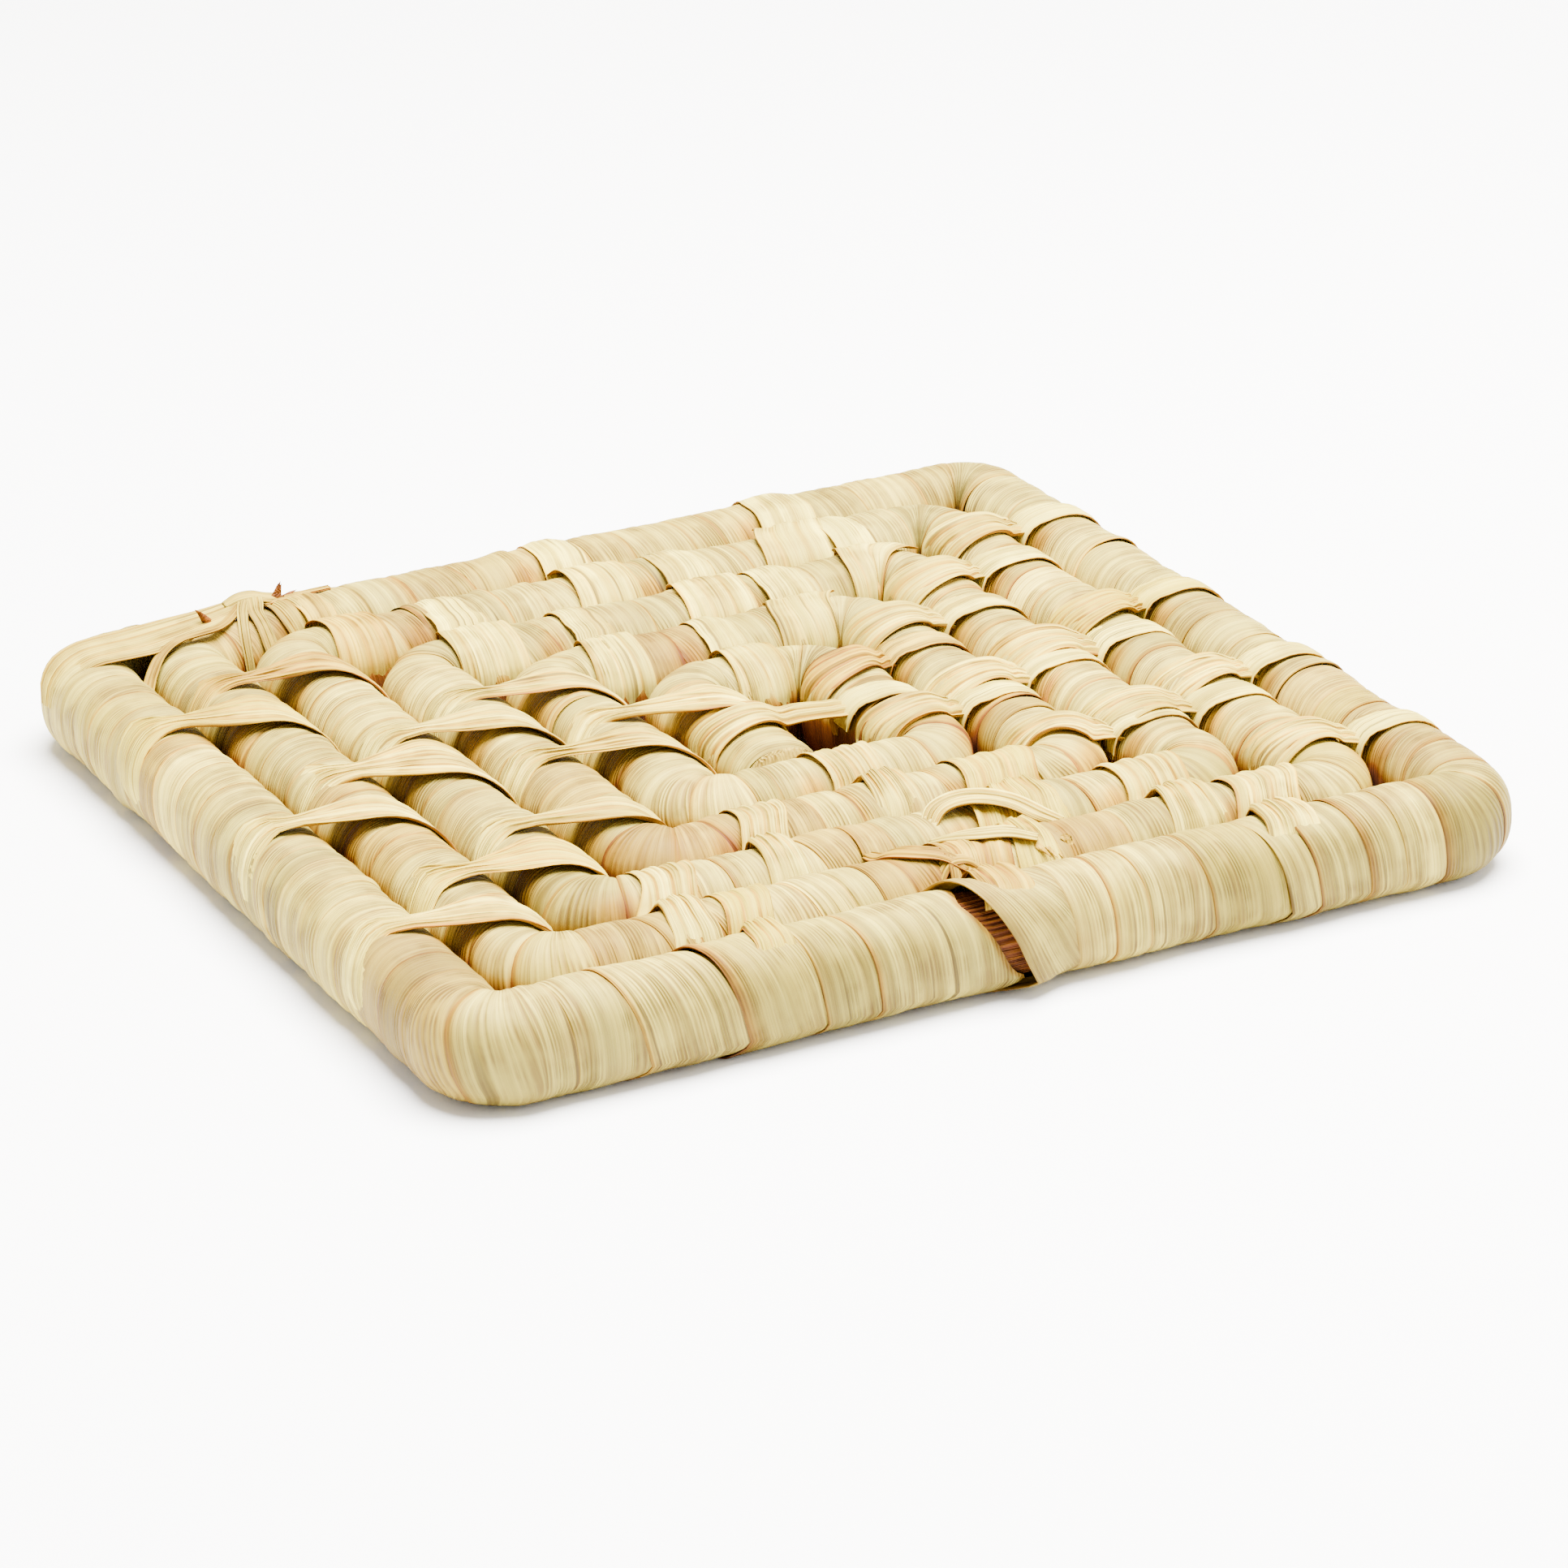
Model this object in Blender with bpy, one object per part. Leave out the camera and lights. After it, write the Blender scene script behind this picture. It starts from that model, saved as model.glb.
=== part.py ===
"""Square trivet mat: one husk-wrapped cord wound flat as a square spiral, its runs bound with husk ties.

Metres, +Z up. The origin lies under the mat's middle, on the surface that the mat rests on, and -Y is
the front. The cord is followed from its outer end, on the back edge, to its inner end: along each run
the mat's middle is on its left hand. Run 0 of a side is the outer one.
"""

import math
import random

import bmesh
import bpy
from mathutils import Vector

# Mat and cord
MAT_SIDE = 0.200
CORD_HEIGHT = 0.0183
OUTER_RUN = 0.0914
PITCH = {"left": 0.0171, "front": 0.0155, "right": 0.0171, "back": 0.0177}
TURNS = 5
RUN_GAP = 0.0005
BEND_RADIUS = 0.0072
BEND_INNER_RADIUS = 0.0003
BEND_EASE = 0.0040

# Inner end: a blunt end in the middle of the mat
INNER_END_X = -0.0040
INNER_END_Y = -0.0212
INNER_END_HALF = 0.0086

# Outer end: it tapers along the back edge, and the run inside it steps out to take its place
OUTER_END = (-0.0615, 0.0967)
OUTER_END_HALF = 0.0022
OUTER_END_FULL_HALF = 0.0080
OUTER_END_HEIGHT = 0.0162
OUTER_END_TAPER = 0.0260
OUTER_END_RISE = 1.4
STEP_START_X = -0.0480
STEP_END_Y = 0.0823
STEP_START_RADIUS = 0.0300
STEP_END_RADIUS = 0.0080
STEP_HALF = 0.0066

# Cross-section of the cord: a rounded square, given by angles from its top to each side
SECTION_POWER = 2.6
SECTION_ANGLES = (0, 42, 88, 132, 160, -160, -132, -88, -42)
BOTTOM_ANGLE = 150

# Wraps: each starts at full size and ends a little smaller, under the lip of the next
WRAP_LENGTH = 0.0088
WRAP_JITTER = 0.0014
WRAP_LIP = 0.0007
WRAP_SLANT = 0.0030
WRAP_SLANT_RAMP = 0.0200
WRAP_END_SCALE = 0.955
WRAP_HEIGHT_SHARE = 0.8
BEND_SCALE = 0.985
BEND_STEPS = 4
END_SCALES = (0.72, 0.93)
END_ROUNDING = 0.0016

# Ties: a gathered neck on the outer run, a bridge over the valley and a fan over the inner run
TIE_CLEARANCE = 0.0005
TIE_NECK_HALF = 0.0026
TIE_NECK_THICKNESS = 0.0017
TIE_FAN_THICKNESS = 0.0009
TIE_NECK_ANGLE = 22
TIE_FAN_ANGLES = (27, 10, -8, -26, -45, -62)
TIE_FAN_SPREAD = (0.56, 0.74, 0.88, 0.94, 0.98, 1.0)
TIE_FAN_THINNING = (0.3, 0.5, 0.7, 0.85, 1.0, 1.0)
TIE_SAG = 0.0008

# One row for each tie: side, outer run, fan's place and neck's place along the side, fan's width, and
# how many of the fan's rows it has. Places are x on the front and back sides and y on the left and
# right sides. Lengths are in millimetres.
TIES = (
    ("left", 0, 41.5, 45.5, 17, 6),
    ("left", 0, -10, -8, 16.5, 6),
    ("left", 0, -60, -56.5, 14.5, 6),
    ("left", 1, 57.5, 58.5, 13, 6),
    ("left", 1, 5, 8.5, 17, 6),
    ("left", 1, -43.5, -42, 16, 6),
    ("left", 2, 16.5, 19.5, 15.5, 6),
    ("left", 2, -32, -28.5, 13, 6),
    ("left", 3, 27, 30, 11, 4),
    ("left", 3, -5, -3, 14, 6),
    ("left", 4, 5, 8.5, 11.5, 4),
    ("right", 0, 57, 58.5, 15, 6),
    ("right", 0, 8, 12, 14.5, 6),
    ("right", 0, -27.5, -27, 11, 6),
    ("right", 0, -63, -64.5, 12.5, 6),
    ("right", 1, 39.5, 42, 15, 6),
    ("right", 1, -0.5, -3, 10.5, 6),
    ("right", 1, -33, -37.8, 8.5, 6),
    ("right", 2, 23.5, 23.5, 14, 6),
    ("right", 2, -8.5, -9.3, 9.5, 6),
    ("right", 2, -38, -42, 10.5, 6),
    ("right", 3, 7, 12, 12.5, 6),
    ("right", 3, -18, -17, 11.5, 6),
    ("right", 4, -6, -6, 13, 6),
    ("back", 0, -44.5, -47, 12, 6),
    ("back", 0, 4, 3, 14.5, 6),
    ("back", 0, 42.5, 48, 14, 6),
    ("back", 1, -26.5, -26, 14, 6),
    ("back", 1, 18.5, 20, 15, 6),
    ("back", 1, 51, 54.5, 11.5, 4),
    ("back", 2, -9.5, -7.5, 12, 6),
    ("back", 2, 28, 32, 12.5, 5),
    ("back", 3, 9.5, 11, 10.5, 5),
    ("front", 0, -38, -41, 11, 6),
    ("front", 0, 3.5, 1, 14, 6),
    ("front", 0, 58.5, 54, 14, 6),
    ("front", 1, -44.7, -48.5, 11, 6),
    ("front", 1, 14.2, 13.7, 9, 6),
    ("front", 1, 44.5, 44, 14, 6),
    ("front", 2, -20, -24.5, 11.5, 6),
    ("front", 2, 24, 22, 16, 6),
    ("front", 3, 3, 4, 13, 6),
)

# Knot over the outer run, where the outer end is held down, and the strip that leads to it
KNOT_X = -0.0555
KNOT_ANGLES = (58, 40, 22, 8, -8, -24, -42)
KNOT_HALF = (0.0035, 0.0040, 0.0048, 0.0054, 0.0054, 0.0044, 0.0032)
KNOT_THICKNESS = (0.0010, 0.0016, 0.0028, 0.0038, 0.0036, 0.0024, 0.0010)
KNOT_EDGE_LOSS = 0.35

# One row for each station of the strip: x, y, height of its underside, half width, all in millimetres
STRAP_ROUTE = (
    (-90.6, 78.6, 18.7, 4.0),
    (-85.5, 78.0, 18.8, 3.6),
    (-80.0, 78.2, 18.9, 2.8),
    (-74.6, 79.6, 18.9, 2.1),
    (-69.8, 81.8, 18.9, 1.7),
    (-66.0, 84.8, 19.0, 1.4),
    (-63.2, 87.8, 19.3, 1.3),
)
STRAP_THICKNESS = 0.0012

COLOURS = {
    "coil": (0.80, 0.70, 0.52),
    "tie": (0.86, 0.78, 0.58),
    "end": (0.78, 0.66, 0.45),
}
HUSK_ROUGHNESS = 0.62
RANDOM_SEED = 11
MM = 0.001


def run_offset(side, run):
    """Distance of a run's centre line from the mat's middle."""
    return OUTER_RUN - run * PITCH[side]


def corners():
    """The centre line's corners: x, y, bend radius and the name of the run that leaves each."""
    found = [(*OUTER_END, 0, "end")]
    start = (-run_offset("left", 0), run_offset("back", 0), BEND_RADIUS, "left_0")
    found.append(start)
    for run in range(TURNS):
        left, front = -run_offset("left", run), -run_offset("front", run)
        right, back = run_offset("right", run), run_offset("back", run)
        found.append((left, front, BEND_RADIUS, f"front_{run}"))
        found.append((right, front, BEND_RADIUS, f"right_{run}"))
        found.append((right, back, BEND_RADIUS, f"back_{run}"))
        following = -run_offset("left", run + 1)
        if run == 0:
            found.append((STEP_START_X, back, STEP_START_RADIUS, "step"))
            found.append((following, STEP_END_Y, STEP_END_RADIUS, "left_1"))
        elif run < TURNS - 1:
            found.append((following, back, BEND_RADIUS, f"left_{run + 1}"))
        else:
            found.append((INNER_END_X, back, BEND_RADIUS, f"left_{TURNS}"))
    found.append((INNER_END_X, INNER_END_Y, 0, None))
    return found


def run_halves(name):
    """Half widths of a run on its left hand, towards the mat's middle, and on its right hand."""
    if name == "step":
        return STEP_HALF, STEP_HALF
    if name == "end":
        return OUTER_END_FULL_HALF, OUTER_END_FULL_HALF
    side, run = name.split("_")[0], int(name.split("_")[1])
    if run == TURNS:
        return INNER_END_HALF, INNER_END_HALF
    inner = (PITCH[side] - RUN_GAP) / 2
    return inner, MAT_SIDE / 2 - OUTER_RUN if run == 0 else inner


def centre_line():
    """Straight pieces and left-hand bends in order, each with its start and end along the cord."""
    points = corners()
    pieces = []
    along = 0.0
    here = Vector(points[0][:2])
    for i in range(1, len(points)):
        corner = Vector(points[i][:2])
        heading = (corner - Vector(points[i - 1][:2])).normalized()
        turn, cut = 0.0, 0.0
        if i < len(points) - 1:
            leaving = (Vector(points[i + 1][:2]) - corner).normalized()
            turn = math.atan2(heading.x * leaving.y - heading.y * leaving.x, heading.dot(leaving))
            cut = points[i][2] * math.tan(turn / 2)
        end = corner - heading * cut
        length = (end - here).length
        name = points[i - 1][3]
        pieces.append({"kind": "run", "name": name, "from": along, "to": along + length,
                       "start": here, "heading": heading})
        along += length
        if turn:
            radius = points[i][2]
            centre = end + Vector((-heading.y, heading.x)) * radius
            pieces.append({"kind": "bend", "name": name, "next": points[i][3], "from": along,
                           "to": along + radius * turn, "centre": centre, "radius": radius,
                           "heading": heading})
            along += radius * turn
            here = corner + leaving * cut
    return pieces


PIECES = centre_line()
CORD_LENGTH = PIECES[-1]["to"]
RUNS = {piece["name"]: piece for piece in PIECES if piece["kind"] == "run"}


def narrowest_left(along):
    """Most that the left half width can be beside a bend, so that the inner corner stays whole."""
    most = 1.0
    for piece in PIECES:
        if piece["kind"] == "bend" and piece["radius"] <= STEP_END_RADIUS:
            away = max(piece["from"] - along, along - piece["to"], 0.0)
            full = piece["radius"] - BEND_INNER_RADIUS
            most = min(most, full + away * (PITCH["back"] / 2 - full) / BEND_EASE)
    return most


def cord_frame(along):
    """Centre, heading and half widths (left, right) of the cord at a distance from its outer end."""
    piece = next((p for p in PIECES if along <= p["to"]), PIECES[-1])
    past = along - piece["from"]
    halves = run_halves(piece["name"])
    if piece["kind"] == "run":
        heading = piece["heading"]
        most = narrowest_left(along)
        return piece["start"] + heading * past, heading, (min(halves[0], most), halves[1])
    turned = past / piece["radius"]
    cos, sin = math.cos(turned), math.sin(turned)
    old = piece["heading"]
    heading = Vector((old.x * cos - old.y * sin, old.x * sin + old.y * cos))
    centre = piece["centre"] + Vector((heading.y, -heading.x)) * piece["radius"]
    share = past / (piece["to"] - piece["from"])
    following = run_halves(piece["next"])
    left = halves[0] + (following[0] - halves[0]) * share
    right = halves[1] + (following[1] - halves[1]) * share
    return centre, heading, (min(left, piece["radius"] - BEND_INNER_RADIUS), right)


def taper(along):
    """Half width and height that the outer end keeps to, at a distance from it."""
    share = min(1.0, max(0.0, along / OUTER_END_TAPER))
    half = OUTER_END_HALF + (OUTER_END_FULL_HALF - OUTER_END_HALF) * share
    height = OUTER_END_HEIGHT + (CORD_HEIGHT - OUTER_END_HEIGHT) * min(1.0, OUTER_END_RISE * share)
    return half, height


def rounded(value):
    return math.copysign(abs(value) ** (2 / SECTION_POWER), value)


def section_point(angle, half, height):
    """Sideways and upward place on the cord's section, at an angle in degrees from its top."""
    sideways = half * rounded(math.sin(math.radians(angle)))
    if abs(angle) > BOTTOM_ANGLE:
        return sideways, 0.0
    return sideways, height / 2 * (1 + rounded(math.cos(math.radians(angle))))


def cord_point(along, angle, scale=1.0, clearance=0.0):
    """A point on the cord's surface, or a clearance off it; positive angles are on the left hand."""
    centre, heading, (left, right) = cord_frame(along)
    end_half, height = taper(along)
    half = min(left if angle > 0 else right, end_half if along < OUTER_END_TAPER else 1.0)
    sideways, up = section_point(angle, half * scale, height * (1 - (1 - scale) * WRAP_HEIGHT_SHARE))
    if clearance:
        slope = math.radians(angle)
        sideways += clearance * math.sin(slope)
        up += clearance * max(0.0, math.cos(slope))
    across = Vector((-heading.y, heading.x))
    place = centre + across * sideways
    return Vector((place.x, place.y, up))


def cord_stations():
    """Places along the cord that carry a ring of points: each with its scale and slant."""
    dice = random.Random(RANDOM_SEED)
    found = [(0.0, END_SCALES[0], 0.0), (END_ROUNDING, END_SCALES[1], 0.0)]
    for piece in PIECES:
        start, end = piece["from"], piece["to"]
        if piece["kind"] == "bend":
            steps = BEND_STEPS if piece["radius"] < STEP_START_RADIUS else 2
            found += [(start + (end - start) * i / steps, BEND_SCALE, 0.0) for i in range(steps + 1)]
            continue
        first = start + (BEND_EASE if start else 0.0)
        last = end - (BEND_EASE if end < CORD_LENGTH else 0.0)
        wraps = max(1, round((last - first) / WRAP_LENGTH))
        if start:
            found.append((first, 1.0, 0.0))
        for i in range(1, wraps):
            lip = first + (last - first) * i / wraps + dice.uniform(-WRAP_JITTER, WRAP_JITTER)
            slant = WRAP_SLANT * min(1.0, (lip - first) / WRAP_SLANT_RAMP, (last - lip) / WRAP_SLANT_RAMP)
            found.append((lip - WRAP_LIP / 2, WRAP_END_SCALE, slant))
            found.append((lip + WRAP_LIP / 2, 1.0, slant))
        if end < CORD_LENGTH:
            found.append((last, 1.0, 0.0))
    found += [(CORD_LENGTH - END_ROUNDING, END_SCALES[1], 0.0), (CORD_LENGTH, END_SCALES[0], 0.0)]
    return found


def skin(name, vertices, faces, material):
    """An object with a closed mesh whose faces point out."""
    mesh = bpy.data.meshes.new(name)
    mesh.from_pydata([tuple(v) for v in vertices], [], faces)
    shape = bmesh.new()
    shape.from_mesh(mesh)
    bmesh.ops.recalc_face_normals(shape, faces=shape.faces)
    shape.to_mesh(mesh)
    shape.free()
    mesh.materials.append(material)
    obj = bpy.data.objects.new(name, mesh)
    bpy.context.scene.collection.objects.link(obj)
    return obj


def husk(name, colour):
    material = bpy.data.materials.new(name)
    material.use_nodes = True
    shader = material.node_tree.nodes["Principled BSDF"]
    shader.inputs["Base Color"].default_value = (*colour, 1)
    shader.inputs["Roughness"].default_value = HUSK_ROUGHNESS
    shader.inputs["Metallic"].default_value = 0.0
    return material


def build_coil(material):
    """The whole cord: rings of the section joined along the centre line, with flat ends."""
    stations = cord_stations()
    sides = len(SECTION_ANGLES)
    vertices = []
    for along, scale, slant in stations:
        vertices += [cord_point(along - slant * angle / 90, angle, scale) for angle in SECTION_ANGLES]
    faces = []
    for i in range(len(stations) - 1):
        for j in range(sides):
            k = (j + 1) % sides
            faces.append((i * sides + j, i * sides + k, (i + 1) * sides + k, (i + 1) * sides + j))
    last = (len(stations) - 1) * sides
    faces.append(tuple(range(sides)))
    faces.append(tuple(range(last, last + sides)))
    return skin("coil", vertices, faces, material)


def build_strap(name, rows, material):
    """A closed strap over rows of (under, over) point pairs, one row for each station along it."""
    columns = len(rows[0])
    vertices = [point for row in rows for pair in row for point in pair]

    def at(station, column, layer):
        return (station * columns + column) * 2 + layer

    faces = []
    for i in range(len(rows) - 1):
        for layer in (0, 1):
            for c in range(columns - 1):
                faces.append((at(i, c, layer), at(i + 1, c, layer),
                              at(i + 1, c + 1, layer), at(i, c + 1, layer)))
        for c in (0, columns - 1):
            faces.append((at(i, c, 0), at(i + 1, c, 0), at(i + 1, c, 1), at(i, c, 1)))
    for i in (0, len(rows) - 1):
        for c in range(columns - 1):
            faces.append((at(i, c, 0), at(i, c + 1, 0), at(i, c + 1, 1), at(i, c, 1)))
    return skin(name, vertices, faces, material)


def place_along(run_name, place):
    """Distance along the cord of a place on a run: x where the run goes sideways, otherwise y."""
    run = RUNS[run_name]
    axis = 0 if abs(run["heading"].x) > abs(run["heading"].y) else 1
    return run["from"] + (place - run["start"][axis]) / run["heading"][axis]


def over_cord(along, angle, thickness):
    """A pair of points, under and over a strap that lies on the cord."""
    under = cord_point(along, angle, 1.0, TIE_CLEARANCE)
    return under, cord_point(along, angle, 1.0, TIE_CLEARANCE + thickness)


def build_tie(name, side, run, fan_mm, neck_mm, width_mm, reach, material):
    """A tie from the outer run to the next one in, gathered on the outer and fanned on the inner."""
    outer = f"{side}_{run}"
    inner = f"left_{TURNS}" if run == TURNS - 1 and side in ("left", "right") else f"{side}_{run + 1}"
    fan = place_along(inner, fan_mm * MM)
    neck = place_along(outer, neck_mm * MM)
    outer_centre, outer_heading, _ = cord_frame(neck)
    inner_centre, inner_heading, _ = cord_frame(fan)
    left_hand = Vector((-inner_heading.y, inner_heading.x))
    towards = 1 if (outer_centre - inner_centre).dot(left_hand) > 0 else -1
    outer_left = Vector((-outer_heading.y, outer_heading.x))
    back = 1 if (inner_centre - outer_centre).dot(outer_left) > 0 else -1
    same_way = 1 if inner_heading.dot(outer_heading) > 0 else -1
    fan_half = width_mm * MM / 2
    ends = [cord_frame(fan + c * (fan_half + BEND_EASE))[1] for c in (-1, 1)]
    columns = (-1, 0, 1) if ends[0].dot(ends[1]) > 0.999 else (-1, -0.5, 0, 0.5, 1)
    rows = [[over_cord(neck + same_way * c * TIE_NECK_HALF, back * TIE_NECK_ANGLE, TIE_NECK_THICKNESS)
             for c in columns]]
    fan_rows = []
    fan_shape = zip(TIE_FAN_ANGLES[:reach], TIE_FAN_SPREAD, TIE_FAN_THINNING)
    for angle, spread, thinning in fan_shape:
        thick = TIE_NECK_THICKNESS + (TIE_FAN_THICKNESS - TIE_NECK_THICKNESS) * thinning
        fan_rows.append([over_cord(fan + c * fan_half * spread, towards * angle, thick) for c in columns])
    bridge = []
    for first, second in zip(rows[0], fan_rows[0]):
        bridge.append(tuple((a + b) / 2 - Vector((0, 0, TIE_SAG)) for a, b in zip(first, second)))
    return build_strap(name, rows + [bridge] + fan_rows, material)


def build_knot(material):
    """The bunched strip over the outer run: thin on both flanks and thick on top."""
    middle = place_along("step", KNOT_X)
    rows = []
    for angle, half, thickness in zip(KNOT_ANGLES, KNOT_HALF, KNOT_THICKNESS):
        thin = thickness * (1 - KNOT_EDGE_LOSS)
        rows.append([over_cord(middle + c * half, angle, thin if c else thickness) for c in (-1, 0, 1)])
    return build_strap("end_knot", rows, material)


def build_end_strap(material):
    """The strip that leads from the back left corner to the knot, narrowing on its way."""
    route = [Vector(row[:3]) * MM for row in STRAP_ROUTE]
    rows = []
    for i, point in enumerate(route):
        before, after = route[max(0, i - 1)], route[min(len(route) - 1, i + 1)]
        heading = (after - before).normalized()
        across = Vector((-heading.y, heading.x, 0)).normalized() * STRAP_ROUTE[i][3] * MM
        up = Vector((0, 0, STRAP_THICKNESS))
        rows.append([(point + across * c, point + across * c + up) for c in (-1, 0, 1)])
    return build_strap("end_strap", rows, material)


def main():
    for obj in list(bpy.data.objects):
        bpy.data.objects.remove(obj)
    build_coil(husk("wrapped_husk", COLOURS["coil"]))
    tie_husk = husk("tie_husk", COLOURS["tie"])
    made = {}
    for side, run, *sizes in TIES:
        count = made[side, run] = made.get((side, run), 0) + 1
        build_tie(f"tie_{side}_{run + 1}_{count}", side, run, *sizes, tie_husk)
    end_husk = husk("end_husk", COLOURS["end"])
    build_knot(end_husk)
    build_end_strap(end_husk)


main()
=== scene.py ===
"""Looks of the square trivet mat: husk strips wound on one cord, husk ties, a knot, on a pale floor.

Lengths are in millimetres until a mesh is made. The cord is followed from its outer end, on the back
edge, to its inner end; the mat's middle is on its left hand. Section angles are degrees from the top
of the cord, positive on the left hand.
"""

import math
import random

import bpy
import numpy as np
from mathutils import Matrix, Vector


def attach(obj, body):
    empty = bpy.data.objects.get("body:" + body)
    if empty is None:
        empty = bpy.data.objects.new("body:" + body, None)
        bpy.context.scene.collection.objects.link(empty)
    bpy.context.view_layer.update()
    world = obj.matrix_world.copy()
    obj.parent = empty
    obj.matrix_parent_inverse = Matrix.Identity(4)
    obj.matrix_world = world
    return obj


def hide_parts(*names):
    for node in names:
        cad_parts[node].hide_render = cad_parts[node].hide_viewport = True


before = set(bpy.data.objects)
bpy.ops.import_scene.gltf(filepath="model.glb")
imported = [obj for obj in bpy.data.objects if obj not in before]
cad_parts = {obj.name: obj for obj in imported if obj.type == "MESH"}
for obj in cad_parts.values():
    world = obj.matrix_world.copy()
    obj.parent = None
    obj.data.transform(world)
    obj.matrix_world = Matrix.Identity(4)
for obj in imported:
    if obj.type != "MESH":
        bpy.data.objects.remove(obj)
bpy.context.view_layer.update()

MM = 0.001
SEED = 5
dice = random.Random(SEED)

# Cord, on the same route as the part's
MAT_SIDE = 200.0
CORD_HEIGHT = 18.3
OUTER_RUN = 91.4
PITCH = {"left": 17.1, "front": 15.5, "right": 17.1, "back": 17.7}
TURNS = 5
RUN_GAP = 0.1
BEND_RADIUS = 7.2
BEND_INNER_RADIUS = 0.3
BEND_EASE = 4.0
SECTION_POWER = 2.3
LOWEST = 0.02
TABLE_STEP = 0.1

# Its blunt inner end
INNER_END = (-4.0, -21.2)
INNER_END_HALF = 8.6

# Its tapered outer end, and the run inside it that steps out to take its place
OUTER_END = (-61.5, 96.7)
OUTER_END_HALF = 2.2
OUTER_END_FULL_HALF = 8.0
OUTER_END_HEIGHT = 16.2
OUTER_END_TAPER = 26.0
OUTER_END_RISE = 1.4
STEP_START_X = -48.0
STEP_END_Y = 82.3
STEP_START_RADIUS = 30.0
STEP_END_RADIUS = 8.0
STEP_HALF = 6.8


def offset(side, run):
    """Distance of a run's centre line from the mat's middle."""
    return OUTER_RUN - run * PITCH[side]


def route():
    """Corners of the centre line: x, y, bend radius and the name of the run that leaves each."""
    found = [(*OUTER_END, 0, "end"), (-offset("left", 0), offset("back", 0), BEND_RADIUS, "left_0")]
    for run in range(TURNS):
        left, front = -offset("left", run), -offset("front", run)
        right, back = offset("right", run), offset("back", run)
        found += [(left, front, BEND_RADIUS, f"front_{run}"),
                  (right, front, BEND_RADIUS, f"right_{run}"),
                  (right, back, BEND_RADIUS, f"back_{run}")]
        following = -offset("left", run + 1)
        if run == 0:
            found += [(STEP_START_X, back, STEP_START_RADIUS, "step"),
                      (following, STEP_END_Y, STEP_END_RADIUS, "left_1")]
        elif run < TURNS - 1:
            found.append((following, back, BEND_RADIUS, f"left_{run + 1}"))
        else:
            found.append((INNER_END[0], back, BEND_RADIUS, f"left_{TURNS}"))
    found.append((*INNER_END, 0, None))
    return found


def halves(name):
    """Half widths of a run on its left hand, towards the mat's middle, and on its right hand."""
    if name == "step":
        return STEP_HALF, STEP_HALF
    if name == "end":
        return OUTER_END_FULL_HALF, OUTER_END_FULL_HALF
    side, run = name.split("_")
    if int(run) == TURNS:
        return INNER_END_HALF, INNER_END_HALF
    inner = (PITCH[side] - RUN_GAP) / 2
    return inner, MAT_SIDE / 2 - OUTER_RUN if run == "0" else inner


def cord_table():
    """Rows of place along the cord, centre, heading and half widths; its runs, bends and length."""
    points = route()
    rows, runs, bends = [], {}, []
    here = np.array(points[0][:2])
    along, turned = 0.0, None
    for i in range(1, len(points)):
        corner = np.array(points[i][:2])
        way = corner - np.array(points[i - 1][:2])
        way = way / np.linalg.norm(way)
        if turned is None:
            turned = math.atan2(way[1], way[0])
        turn, cut = 0.0, 0.0
        if i < len(points) - 1:
            leaving = np.array(points[i + 1][:2]) - corner
            leaving = leaving / np.linalg.norm(leaving)
            turn = math.atan2(way[0] * leaving[1] - way[1] * leaving[0], way @ leaving)
            cut = points[i][2] * math.tan(turn / 2)
        end = corner - way * cut
        length = np.linalg.norm(end - here)
        name = points[i - 1][3]
        runs[name] = {"from": along, "to": along + length, "start": here, "way": way}
        left, right = halves(name)
        for d in np.arange(0, length, TABLE_STEP):
            rows.append((along + d, *(here + way * d), turned, left, right))
        along += length
        if turn:
            radius = points[i][2]
            centre = end + np.array([-way[1], way[0]]) * radius
            after = halves(points[i][3])
            bends.append((along, along + radius * turn, radius))
            for d in np.arange(0, radius * turn, TABLE_STEP):
                angle = turned + d / radius
                share = d / (radius * turn)
                rows.append((along + d, centre[0] + radius * math.sin(angle),
                             centre[1] - radius * math.cos(angle), angle,
                             left + (after[0] - left) * share, right + (after[1] - right) * share))
            along += radius * turn
            turned += turn
            here = corner + leaving * cut
    rows.append((along, *end, turned, left, right))
    table = np.array(rows)
    for start, end, radius in bends:
        if radius <= STEP_END_RADIUS:
            away = np.maximum(0, np.maximum(start - table[:, 0], table[:, 0] - end))
            full = radius - BEND_INNER_RADIUS
            most = full + away * (PITCH["back"] / 2 - full) / BEND_EASE
            table[:, 4] = np.minimum(table[:, 4], most)
    return table, runs, bends, along


TABLE, RUNS, BENDS, LENGTH = cord_table()


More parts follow.
